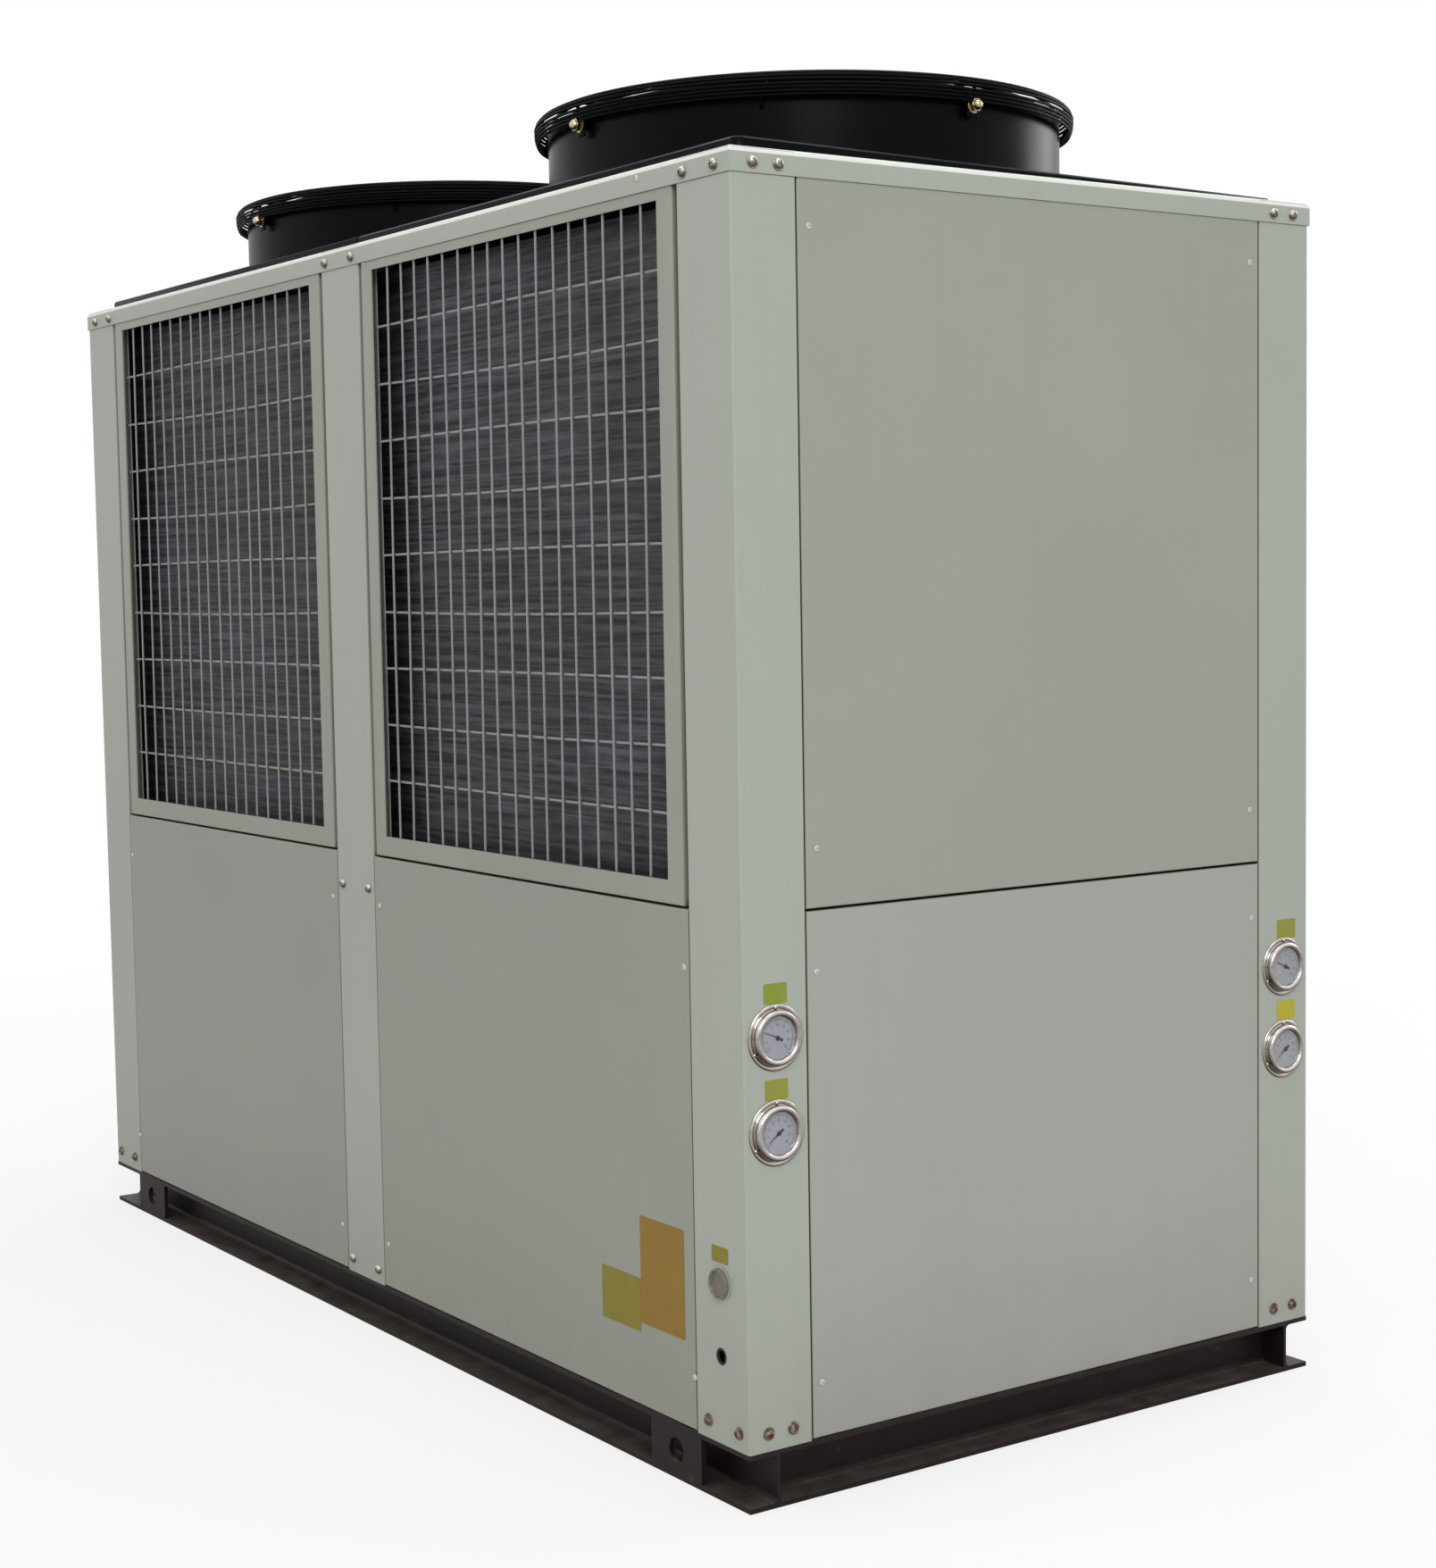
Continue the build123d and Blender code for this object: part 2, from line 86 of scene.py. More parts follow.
def new_material(name):
    """Starts an empty material and returns it with its node tree."""
    material = bpy.data.materials.new(name)
    material.use_nodes = True
    material.node_tree.nodes.clear()
    return material, material.node_tree


world = bpy.data.worlds.new("even_white_sky")
bpy.context.scene.world = world
world.use_nodes = True
sky = world.node_tree
sky.nodes.clear()
ray = add_node(sky, "LightPath").outputs
seen = add_node(sky, "Math", {0: ray["Is Camera Ray"], 1: ray["Is Glossy Ray"]}, operation="MAXIMUM")
seen = add_node(sky, "Math", {0: seen.outputs[0], 1: ray["Is Transmission Ray"]}, operation="MAXIMUM")
strength = add_node(sky, "MapRange", {"Value": seen.outputs[0], "To Min": 0.56, "To Max": 1.0})
light = add_node(sky, "Background", {"Color": linear("#FFFFFF"), "Strength": strength.outputs[0]})
add_node(sky, "OutputWorld", {"Surface": light.outputs[0]})

floor_paint, tree = new_material("matt_white_studio_floor")
place = add_node(tree, "TexCoord").outputs["Object"]
grain = add_node(tree, "TexNoise", {"Vector": place, "Scale": 3.0})
tone = add_node(tree, "Mix", {"Factor": grain.outputs["Fac"], "A": linear("#F4F4F2"), "B": linear("#F8F8F6")},
                data_type="RGBA")
matt = add_node(tree, "BsdfDiffuse", {"Color": tone.outputs["Result"]})
glow = add_node(tree, "Emission", {"Color": linear("#FFFFFF")})
away = add_node(tree, "VectorMath", {0: place}, operation="LENGTH")
fade = add_node(tree, "MapRange", {"Value": away.outputs["Value"], "From Min": 1.2, "From Max": 4.5,
                                   "To Min": 0.74, "To Max": 1.0})
share = add_node(tree, "Math", {0: fade.outputs[0], 1: add_node(tree, "LightPath").outputs["Is Camera Ray"]},
                 operation="MULTIPLY")
both = add_node(tree, "MixShader", {0: share.outputs[0], 1: matt.outputs[0], 2: glow.outputs[0]})
add_node(tree, "OutputMaterial", {"Surface": both.outputs[0]})

bm = bmesh.new()
bmesh.ops.create_grid(bm, x_segments=1, y_segments=1, size=30)
floor_mesh = bpy.data.meshes.new("studio_floor")
bm.to_mesh(floor_mesh)
bm.free()
floor_mesh.materials.append(floor_paint)
studio_floor = bpy.data.objects.new("studio_floor", floor_mesh)
bpy.context.collection.objects.link(studio_floor)

for lamp_name, place, size, watts in (
    ("key_lamp", (5.5, -3.0, 4.5), 3.5, 150),
    ("fill_lamp", (-3.0, -6.5, 3.5), 4.0, 15),
    ("back_lamp", (0.4, 6.2, 3.3), 3.0, 110),
    ("top_lamp", (0.0, 0.0, 6.5), 4.0, 90),
):
    lamp_data = bpy.data.lights.new(lamp_name, "AREA")
    lamp_data.shape = "DISK"
    lamp_data.size = size
    lamp_data.energy = watts
    lamp = bpy.data.objects.new(lamp_name, lamp_data)
    bpy.context.collection.objects.link(lamp)
    aim = (Vector((0, 0, 0.9)) - Vector(place)).to_track_quat("-Z", "Y")
    lamp.matrix_world = Matrix.Translation(place) @ aim.to_matrix().to_4x4()


# Base frame: hot-rolled steel channels with their flanges outward, welded at the corners and cross
# members, brushed with dark maroon anti-rust paint. Site dust lies on whatever faces up.
def dress(material, *starts):
    """Gives a material to every CAD node whose name starts with one of the words."""
    for name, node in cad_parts.items():
        if name.startswith(starts):
            node.data.materials.clear()
            node.data.materials.append(material)


# Brushed alkyd paint on steel: satin, streaky, thin over the mill scale, with rust coming through.
base_paint, tree = new_material("brushed_maroon_antirust_paint")
place = add_node(tree, "TexCoord").outputs["Object"]
blotch = add_node(tree, "TexNoise", {"Vector": place, "Scale": 9.0, "Detail": 6.0, "Roughness": 0.65})
coat = add_node(tree, "ValToRGB", {"Fac": blotch.outputs["Fac"]})
coat.color_ramp.elements[0].position, coat.color_ramp.elements[0].color = 0.3, linear("#160F11")
coat.color_ramp.elements[1].position, coat.color_ramp.elements[1].color = 0.75, linear("#281B1D")
rust_spots = add_node(tree, "TexNoise", {"Vector": place, "Scale": 46.0, "Detail": 5.0})
rust_mask = add_node(tree, "MapRange", {"Value": rust_spots.outputs["Fac"], "From Min": 0.66, "From Max": 0.74})
rusted = add_node(tree, "Mix", {"Factor": rust_mask.outputs[0], "A": coat.outputs[0], "B": linear("#402A22")},
                  data_type="RGBA")
facing = add_node(tree, "SeparateXYZ", {"Vector": add_node(tree, "NewGeometry").outputs["Normal"]})
upward = add_node(tree, "MapRange", {"Value": facing.outputs["Z"], "From Min": 0.6, "From Max": 0.95})
dust_patches = add_node(tree, "TexNoise", {"Vector": place, "Scale": 22.0, "Detail": 4.0})
dust = add_node(tree, "MapRange", {"Value": dust_patches.outputs["Fac"], "From Min": 0.25, "From Max": 0.7,
                                   "To Min": 0.2, "To Max": 0.75})
dusty = add_node(tree, "Math", {0: upward.outputs[0], 1: dust.outputs[0]}, operation="MULTIPLY")
whole = add_node(tree, "Mix", {"Factor": dusty.outputs[0], "A": rusted.outputs["Result"],
                               "B": linear("#625A55")}, data_type="RGBA")
gloss = add_node(tree, "MapRange", {"Value": blotch.outputs["Fac"], "To Min": 0.38, "To Max": 0.62})
scale_pits = add_node(tree, "Bump", {"Height": rust_spots.outputs["Fac"], "Strength": 0.25, "Distance": 0.0008})
surface = add_node(tree, "BsdfPrincipled", {"Base Color": whole.outputs["Result"], "Roughness": gloss.outputs[0],
                                            "Normal": scale_pits.outputs[0], "Specular IOR Level": 0.2})
add_node(tree, "OutputMaterial", {"Surface": surface.outputs[0]})
dress(base_paint, "base_rail", "cross_member", "lifting_plates")


# Inner sheets: the floor pan, plenum floor, roof beam and the partition between the fan bays are
# hot-dip galvanised sheet, left bare. Zinc crystals make a dull spangle about 12 mm wide.
spangle_width = 0.012
galvanised, tree = new_material("hot_dip_galvanised_sheet")
place = add_node(tree, "TexCoord").outputs["Object"]
crystals = add_node(tree, "TexVoronoi", {"Vector": place, "Scale": 1 / spangle_width})
zinc = add_node(tree, "Mix", {"Factor": crystals.outputs["Color"], "A": linear("#7E8285"),
                              "B": linear("#9A9EA1")}, data_type="RGBA")
patina = add_node(tree, "MapRange", {"Value": crystals.outputs["Color"], "To Min": 0.36, "To Max": 0.58})
surface = add_node(tree, "BsdfPrincipled", {"Base Color": zinc.outputs["Result"], "Metallic": 0.9,
                                            "Roughness": patina.outputs[0]})
add_node(tree, "OutputMaterial", {"Surface": surface.outputs[0]})
dress(galvanised, "floor_pan", "plenum_floor", "roof_beam", "fan_partition")


# Cabinet: corner posts, mullions, panels and roof trims of 2 mm folded sheet, powder coated a pale
# grey-green. Folded edges keep a small outside radius, and each panel sits on landings of its posts.
# The parts were coated in separate batches, so their tone differs a little.
def powder_coat(name, pale, deep):
    """Makes a polyester powder coat: semi-gloss, an orange peel, rain streaks, grime low down, painted shade in gaps.
    """
    peel_width = 0.005
    material, tree = new_material(name)
    place = add_node(tree, "TexCoord").outputs["Object"]
    clouds = add_node(tree, "TexNoise", {"Vector": place, "Scale": 1.7, "Detail": 4.0, "Roughness": 0.6})
    tint = add_node(tree, "MapRange", {"Value": clouds.outputs["Fac"], "From Min": 0.3, "From Max": 0.7})
    coat = add_node(tree, "Mix", {"Factor": tint.outputs[0], "A": linear(deep), "B": linear(pale)},
                    data_type="RGBA")
    drawn = add_node(tree, "Mapping", {"Vector": place, "Scale": (26.0, 26.0, 0.9)})
    streaks = add_node(tree, "TexNoise", {"Vector": drawn.outputs[0], "Scale": 1.0, "Detail": 5.0})
    run_mask = add_node(tree, "MapRange", {"Value": streaks.outputs["Fac"], "From Min": 0.52, "From Max": 0.85,
                                           "To Max": 0.1})
    streaks_and_painted_light = add_node(tree, "Mix", {"Factor": run_mask.outputs[0], "A": coat.outputs["Result"],
                                    "B": linear("#888C82")}, data_type="RGBA")
    height = add_node(tree, "SeparateXYZ", {"Vector": place})
    low = add_node(tree, "MapRange", {"Value": height.outputs["Z"], "From Min": 0.34, "From Max": 0.08,
                                      "To Max": 0.4})
    splash = add_node(tree, "TexNoise", {"Vector": place, "Scale": 14.0, "Detail": 6.0})
    grime = add_node(tree, "Math", {0: low.outputs[0], 1: splash.outputs["Fac"]}, operation="MULTIPLY")
    splashed = add_node(tree, "Mix", {"Factor": grime.outputs[0], "A": streaks_and_painted_light.outputs["Result"],
                                      "B": linear("#7E7E74")}, data_type="RGBA")
    # Painted shade: ambient occlusion darkens the coat toward dark olive in gaps, seams and beside parts.
    gap_occlusion = add_node(tree, "AmbientOcclusion", {"Distance": 0.014}, samples=8)
    gap_shade = add_node(tree, "MapRange", {"Value": gap_occlusion.outputs["AO"], "From Min": 0.42, "From Max": 0.85,
                                         "To Min": 0.9, "To Max": 0.0})
    whole = add_node(tree, "Mix", {"Factor": gap_shade.outputs[0], "A": splashed.outputs["Result"],
                                   "B": linear("#3B3A30")}, data_type="RGBA")
    peel = add_node(tree, "TexNoise", {"Vector": place, "Scale": 1 / peel_width, "Detail": 2.0})
    dimples = add_node(tree, "Bump", {"Height": peel.outputs["Fac"], "Strength": 0.12, "Distance": 0.0006})
    gloss = add_node(tree, "MapRange", {"Value": clouds.outputs["Fac"], "To Min": 0.36, "To Max": 0.5})
    surface = add_node(tree, "BsdfPrincipled", {"Base Color": whole.outputs["Result"],
                                                "Roughness": gloss.outputs[0], "Normal": dimples.outputs[0]})
    add_node(tree, "OutputMaterial", {"Surface": surface.outputs[0]})
    return material


frame_coat = powder_coat("pale_grey_green_powder_coat", "#A8ADA4", "#A3A89F")
upper_coat = powder_coat("greenish_grey_powder_coat", "#9A9E95", "#96998F")
lower_coat = powder_coat("warm_grey_powder_coat", "#A3A49E", "#9FA099")
side_coat = powder_coat("mid_grey_powder_coat", "#96988F", "#90928A")
grille_coat = powder_coat("dirty_grey_green_powder_coat", "#999C93", "#919489")
# The wires get a darker copy of the grille's coat: painted shade on the thin wires.
shaded_wire_coat = powder_coat("grey_powder_coat_painted_shade", "#8F9190", "#878988")
dress(frame_coat, "corner_post", "mullion")
dress(upper_coat, "end_panel_upper")
dress(lower_coat, "end_panel_lower")
dress(side_coat, "side_panel")


# Roof trims: four strips of sheet folded over the top edge of the cabinet and mitred at the corners.
# The fold is soft, and its up-facing faces carry a near-white coat, a painted highlight that shows as one bright
# line.
def finish_piece(bm, name, body, *materials, smooth=radians(35)):
    """Makes an object of a mesh, with its materials, that rides on a body."""
    bmesh.ops.recalc_face_normals(bm, faces=bm.faces)
    mesh = bpy.data.meshes.new(name)
    bm.to_mesh(mesh)
    bm.free()
    for face in mesh.polygons:
        face.use_smooth = True
    mesh.set_sharp_from_angle(angle=smooth)
    for material in materials:
        mesh.materials.append(material)
    piece = bpy.data.objects.new(name, mesh)
    bpy.context.collection.objects.link(piece)
    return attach(piece, body)


trim_low, trim_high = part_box("roof_trim_front")
trim_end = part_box("roof_trim_right")[1][0]
trim_outer_y, trim_bottom, trim_top = -trim_low[1], trim_low[2], trim_high[2]
trim_flange = trim_high[1] - trim_low[1]
fold_radius, trim_sheet, cut_edge = 0.008, 0.002, 0.0005
fold = [(fold_radius * (1 - cos(radians(turn))), trim_top - fold_radius * (1 - sin(radians(turn))))
        for turn in (0, 15, 30, 45, 60, 75, 90)]
trim_profile = [(trim_sheet, trim_bottom), (cut_edge, trim_bottom), (0, trim_bottom + cut_edge)] + fold + [
    (trim_flange, trim_top), (trim_flange, trim_top - trim_sheet), (fold_radius, trim_top - trim_sheet),
    (trim_sheet, trim_top - fold_radius), (trim_sheet, trim_bottom)]
bm = bmesh.new()
for count, (inset, height) in enumerate(trim_profile):
    loop = bmesh.ops.create_grid(bm, x_segments=1, y_segments=1, size=0.5,
                                 matrix=Matrix.Translation((0, 0, height)))["verts"]
    bmesh.ops.delete(bm, geom=list({f for v in loop for f in v.link_faces}), context="FACES_ONLY")
    bmesh.ops.scale(bm, vec=(2 * (trim_end - inset), 2 * (trim_outer_y - inset), 1), verts=loop)
    edges = list({e for v in loop for e in v.link_edges})
    if count:
        bmesh.ops.bridge_loops(bm, edges=edges + before)
    before = edges
bmesh.ops.remove_doubles(bm, verts=bm.verts, dist=1e-6)
bmesh.ops.recalc_face_normals(bm, faces=bm.faces)
# Faces of the fold that look up get a near-white coat: a painted highlight.
for face in bm.faces:
    face.material_index = int(0.1 < face.normal.z < 0.999)
fold_highlight_coat = powder_coat("fold_painted_highlight_coat", "#EEF0EA", "#E2E5DD")
trims = finish_piece(bm, "roof_trims", "cabinet", frame_coat, fold_highlight_coat)
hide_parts("roof_trim_front", "roof_trim_back", "roof_trim_left", "roof_trim_right")


# Condenser coils: aluminium fins pressed on rows of copper tube. The fins stand upright, and the tube
# rows, one above another, show through them as level bands of painted light and shade. The coil face
# is coloured dark, and old fins are dull.
row_pitch = 0.0254
# The real fins stand about 2 mm apart; they are drawn at three times that to show at all.
fin_pitch = 0.006
fins, tree = new_material("aluminium_fins_painted_shade")
place = add_node(tree, "TexCoord").outputs["Object"]
rows = add_node(tree, "TexWave", {"Vector": place, "Scale": pi / (10 * row_pitch), "Distortion": 1.2,
                                  "Detail": 2.0, "Detail Scale": 2.0}, bands_direction="Z")
combed = add_node(tree, "Mapping", {"Vector": place, "Scale": (6.0, 6.0, 190.0)})
creases = add_node(tree, "TexNoise", {"Vector": combed.outputs[0], "Scale": 1.0, "Detail": 3.0})
blades = add_node(tree, "TexWave", {"Vector": place, "Scale": pi / (10 * fin_pitch)}, bands_direction="X")
patches = add_node(tree, "TexNoise", {"Vector": place, "Scale": 3.2, "Detail": 4.0, "Roughness": 0.6})
# Painted light and shade: lighter stripes on the tube rows, darker ones between them.
tube_row_shading = add_node(tree, "ValToRGB", {"Fac": rows.outputs["Fac"]})
tube_row_shading.color_ramp.elements[0].position, tube_row_shading.color_ramp.elements[0].color = 0.15, linear("#3A383B")
tube_row_shading.color_ramp.elements[1].position, tube_row_shading.color_ramp.elements[1].color = 0.85, linear("#5B5C62")
crease_band = add_node(tree, "ValToRGB", {"Fac": creases.outputs["Fac"]})
crease_band.color_ramp.elements[0].position, crease_band.color_ramp.elements[0].color = 0.38, linear("#6E6C6C")
crease_band.color_ramp.elements[1].position, crease_band.color_ramp.elements[1].color = 0.6, linear("#FFFFFF")
weather = add_node(tree, "MapRange", {"Value": patches.outputs["Fac"], "From Min": 0.4, "From Max": 0.62})
weathered = add_node(tree, "Mix", {"Factor": weather.outputs[0], "A": linear("#463E3C"),
                                   "B": linear("#5A5C68")}, data_type="RGBA")
shaded = add_node(tree, "Mix", {"Factor": 0.5, "A": tube_row_shading.outputs[0], "B": weathered.outputs["Result"]},
                  data_type="RGBA")
creased = add_node(tree, "Mix", {"Factor": 1.0, "A": shaded.outputs["Result"], "B": crease_band.outputs[0]},
                   data_type="RGBA", blend_type="MULTIPLY")
# Painted shade: a dark line in each gap between the fins.
gaps = add_node(tree, "MapRange", {"Value": blades.outputs["Fac"], "To Min": 0.72, "To Max": 1.0})
lined = add_node(tree, "Mix", {"Factor": 1.0, "A": creased.outputs["Result"], "B": gaps.outputs[0]},
                 data_type="RGBA", blend_type="MULTIPLY")
edges = add_node(tree, "Bump", {"Height": blades.outputs["Fac"], "Strength": 0.4, "Distance": 0.0015})
surface = add_node(tree, "BsdfPrincipled", {"Base Color": lined.outputs["Result"], "Metallic": 0.3,
                                            "Roughness": 0.55, "Normal": edges.outputs[0]})
add_node(tree, "OutputMaterial", {"Surface": surface.outputs[0]})
dress(fins, "condenser_coil")


# Fan decks and ducts: pressed and rolled steel sheet, stove enamelled black. Each deck falls a little
# to its outer back corner, where rain runs off, and its rim rests on the flange of the trims.
def stove_enamel(name, polished, dulled):
    """Makes a cold black stove enamel, slightly wavy, with its gloss dulled in soft patches."""
    ripple_width = 0.008
    material, tree = new_material(name)
    place = add_node(tree, "TexCoord").outputs["Object"]
    swirl = add_node(tree, "TexNoise", {"Vector": place, "Scale": 5.0, "Detail": 3.0})
    coat = add_node(tree, "Mix", {"Factor": swirl.outputs["Fac"], "A": linear("#060709"), "B": linear("#0C0D11")},
                    data_type="RGBA")
    haze = add_node(tree, "MapRange", {"Value": swirl.outputs["Fac"], "To Min": polished, "To Max": dulled})
    ripple = add_node(tree, "TexNoise", {"Vector": place, "Scale": 1 / ripple_width, "Detail": 2.0})
    waves = add_node(tree, "Bump", {"Height": ripple.outputs["Fac"], "Strength": 0.08, "Distance": 0.0006})
    surface = add_node(tree, "BsdfPrincipled", {"Base Color": coat.outputs["Result"], "Roughness": haze.outputs[0],
                                                "Normal": waves.outputs[0], "Specular IOR Level": 0.05})
    add_node(tree, "OutputMaterial", {"Surface": surface.outputs[0]})
    return material


black_enamel = stove_enamel("black_stove_enamel", 0.2, 0.38)
wire_enamel = stove_enamel("dulled_black_stove_enamel", 0.42, 0.6)
dress(black_enamel, "fan_duct")
deck_fall, corner_reach = 0.011, 0.03
for end in ("right", "left"):
    low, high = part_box(f"fan_deck_{end}")
    corner = Vector((high[0] if end == "right" else low[0], high[1], high[2]))
    bm = bmesh.new()
    bm.from_mesh(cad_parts[f"fan_deck_{end}"].data)
    bmesh.ops.remove_doubles(bm, verts=bm.verts, dist=1e-5)
    lowered = [v for v in bm.verts if v.co.z > low[2] + 0.001 and (v.co - corner).length < corner_reach]
    bmesh.ops.translate(bm, vec=(0, 0, -deck_fall), verts=lowered)
    cover = finish_piece(bm, f"deck_cover_{end}", "cabinet", black_enamel)
    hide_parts(f"fan_deck_{end}")


# Grilles: a frame folded from one sheet, and wires welded to the back of it, the upright ones in
# front of the level ones. All are powder coated in one piece; the wires' coat is drawn darker, as
# painted shade, and knocks have bowed some wires.
def bowed_wire(bm, start, end, radius, bow, sides=8, pieces=6):
    """Adds a round wire between two points, bowed sideways in its middle."""
    start, end, bow = Vector(start), Vector(end), Vector(bow)
    length = (end - start).length
    along = (end - start).to_track_quat("Z", "Y").to_matrix().to_4x4()
    verts = bmesh.ops.create_cone(bm, cap_ends=True, segments=sides, radius1=radius, radius2=radius,
                                  depth=length, matrix=Matrix.Translation((start + end) / 2) @ along)["verts"]
    level = (end - start) / length
    lengthwise = [e for e in {e for v in verts for e in v.link_edges} if e.calc_length() > length / 2]
    cut = bmesh.ops.subdivide_edges(bm, edges=lengthwise, cuts=pieces - 1)["geom_inner"]
    for vert in (v for v in cut if isinstance(v, bmesh.types.BMVert)):
        vert.co += bow * sin(pi * (vert.co - start).dot(level) / length)


sheet_thickness, frame_gap, weld_lap = 0.002, 0.0065, 0.006
side_member, bottom_member, top_member = 0.043, 0.033, 0.023
wire_radius, upright_count, level_count = 0.0019, 17, 9
for end in ("right", "left"):
    for face, inward in (("front", 1), ("back", -1)):
        low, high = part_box(f"grille_{face}_{end}")
        outer_y = low[1] if face == "front" else high[1]
        left, right = low[0] + side_member, high[0] - side_member
        bottom, top = low[2] + bottom_member, high[2] - top_member
        bm = bmesh.new()
        for x_low, x_high, z_low, z_high in ((low[0] + frame_gap, high[0] - frame_gap, low[2], high[2]),
                                             (left, right, bottom, top)):
            loop = bmesh.ops.create_grid(bm, x_segments=1, y_segments=1, size=0.5)["verts"]
            bmesh.ops.scale(bm, vec=(x_high - x_low, z_high - z_low, 1), verts=loop)
            bmesh.ops.rotate(bm, matrix=Matrix.Rotation(radians(90), 3, "X"), verts=loop)
            bmesh.ops.translate(bm, vec=((x_low + x_high) / 2, outer_y, (z_low + z_high) / 2), verts=loop)
        bmesh.ops.delete(bm, geom=bm.faces[:], context="FACES_ONLY")
        outer_edges = [e for e in bm.edges if e.verts[0].co.z in (low[2], high[2]) or
                       min(abs(v.co.x - x) for v in e.verts for x in (left, right)) > 0.001]
        bmesh.ops.bridge_loops(bm, edges=bm.edges[:])
        folded = bmesh.ops.extrude_edge_only(bm, edges=outer_edges)["geom"]
        bmesh.ops.translate(bm, vec=(0, 0.018 * inward, 0), verts=[v for v in folded
                                                                   if isinstance(v, bmesh.types.BMVert)])
        bmesh.ops.bevel(bm, geom=outer_edges, offset=0.0025, affect="EDGES", segments=3, profile=0.5,
                        material=-1)
        bmesh.ops.recalc_face_normals(bm, faces=bm.faces)
        if sum(f.normal.y * f.calc_area() for f in bm.faces) * inward > 0:
            bmesh.ops.reverse_faces(bm, faces=bm.faces[:])
        bmesh.ops.solidify(bm, geom=bm.faces[:], thickness=sheet_thickness)
        frame_piece = finish_piece(bm, f"grille_frame_{face}_{end}", "cabinet", grille_coat)
        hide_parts(f"grille_{face}_{end}")
        bm = bmesh.new()
        upright_y = outer_y + (sheet_thickness + wire_radius) * inward
        level_y = upright_y + 2 * wire_radius * inward
        for count in range(1, upright_count + 1):
            x = left + (right - left) * count / (upright_count + 1)
            lean, bow = 0.0022 * sin(5.1 * count), 0.0025 * sin(3.7 * count + inward)
            bowed_wire(bm, (x + lean, upright_y, bottom - weld_lap), (x - lean, upright_y, top + weld_lap),
                       wire_radius, (bow, 0, 0))
        for count in range(1, level_count + 1):
            z = bottom + (top - bottom) * count / (level_count + 1)
            bowed_wire(bm, (left - weld_lap, level_y, z), (right + weld_lap, level_y, z + 0.001 * sin(4.3 * count)),
                       wire_radius, (0, 0, 0.003 * sin(2.9 * count) - 0.001))
        finish_piece(bm, f"grille_wires_{face}_{end}", "cabinet", shaded_wire_coat)


# Fan guards: rings of 5 mm wire welded on eight radial ribs of 6 mm rod. The ribs turn down over the
# rim of the duct and back in to it, and every second one ends in a clip bolted to the duct.
def wire_ring(bm, centre, radius, height, wire, steps=96, sides=8):
    """Adds a level ring of round wire."""
    section = bmesh.ops.create_circle(bm, segments=sides, radius=wire, matrix=(
        Matrix.Translation((centre + radius, 0, height)) @ Matrix.Rotation(radians(90), 4, "X")))["verts"]
    edges = [e for e in bm.edges if e.verts[0] in section and e.verts[1] in section]
    bmesh.ops.spin(bm, geom=section + edges, cent=(centre, 0, 0), axis=(0, 0, 1), angle=2 * pi,
                   steps=steps, use_merge=True)


def bent_rod(bm, start, heading, radius, moves, sides=8):
    """Adds a rod that runs and bends in an upright plane: a move is a length or (turn, bend radius)."""
    side = Vector((0, 0, 1)).cross(heading).normalized()
    point, heading = Vector(start), Vector(heading).normalized()
    frame_matrix = Matrix.Translation(point) @ heading.to_track_quat("Z", "Y").to_matrix().to_4x4()
    loop = bmesh.ops.create_circle(bm, cap_ends=True, segments=sides, radius=radius,
                                   matrix=frame_matrix)["verts"]
    for move in moves:
        edges = list({e for v in loop for e in v.link_edges if e.verts[0] in loop and e.verts[1] in loop})
        if isinstance(move, tuple):
            turn, bend = move
            cent = point + side.cross(heading) * (bend if turn > 0 else -bend)
            made = bmesh.ops.spin(bm, geom=edges, cent=cent, axis=side, angle=turn, steps=5)
            loop = [v for v in made["geom_last"] if isinstance(v, bmesh.types.BMVert)]
            turned = Matrix.Rotation(turn, 3, side)
            point = cent + turned @ (point - cent)
            heading = turned @ heading
        else:
            made = bmesh.ops.extrude_edge_only(bm, edges=edges)["geom"]
            loop = [v for v in made if isinstance(v, bmesh.types.BMVert)]
            bmesh.ops.translate(bm, vec=heading * move, verts=loop)
            point = point + heading * move
    bmesh.ops.contextual_create(bm, geom=list({e for v in loop for e in v.link_edges
                                               if e.verts[0] in loop and e.verts[1] in loop}))


guard_wire, lip_wire, rib_wire = 0.0025, 0.0023, 0.003
guard_top, duct_rim = 1.962, 1.945
rib_height = guard_top - 2 * guard_wire - rib_wire
ring_pitch, innermost_ring, ring_count = 0.0206, 0.103, 15
rib_start, lip_bend, bend_radius = 0.088, 0.4065, 0.008
for end, centre in (("right", 0.56), ("left", -0.56)):
    bm = bmesh.new()
    for count in range(ring_count):
        wire_ring(bm, centre, innermost_ring + ring_pitch * count, guard_top - guard_wire, guard_wire)
    reach = bend_radius + rib_wire + lip_wire
    for angle in (80, 56, 32, 8):
        wire_ring(bm, centre, lip_bend + reach * cos(radians(angle)),
                  rib_height - bend_radius + reach * sin(radians(angle)), lip_wire, steps=128)
    for inward, drop in ((0.0002, 0.0045), (0.0006, 0.0095), (0.0016, 0.0145), (0.0034, 0.0192)):
        wire_ring(bm, centre, lip_bend + reach - inward, rib_height - bend_radius - drop, lip_wire, steps=128)
    for rib in range(8):
        start = len(bm.verts)
        bent_rod(bm, (rib_start, 0, rib_height), (1, 0, 0), rib_wire,
                 [lip_bend - rib_start, (radians(90), bend_radius), 0.010, (radians(30), 0.012), 0.020])
        bm.verts.ensure_lookup_table()
        added = bm.verts[start:]
        turn = Matrix.Translation((centre, 0, 0)) @ Matrix.Rotation(radians(45 * rib), 4, "Z")
        bmesh.ops.transform(bm, matrix=turn, verts=added)
    guard = finish_piece(bm, f"ring_guard_{end}", "cabinet", wire_enamel, smooth=radians(60))
    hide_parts(f"fan_guard_{end}")


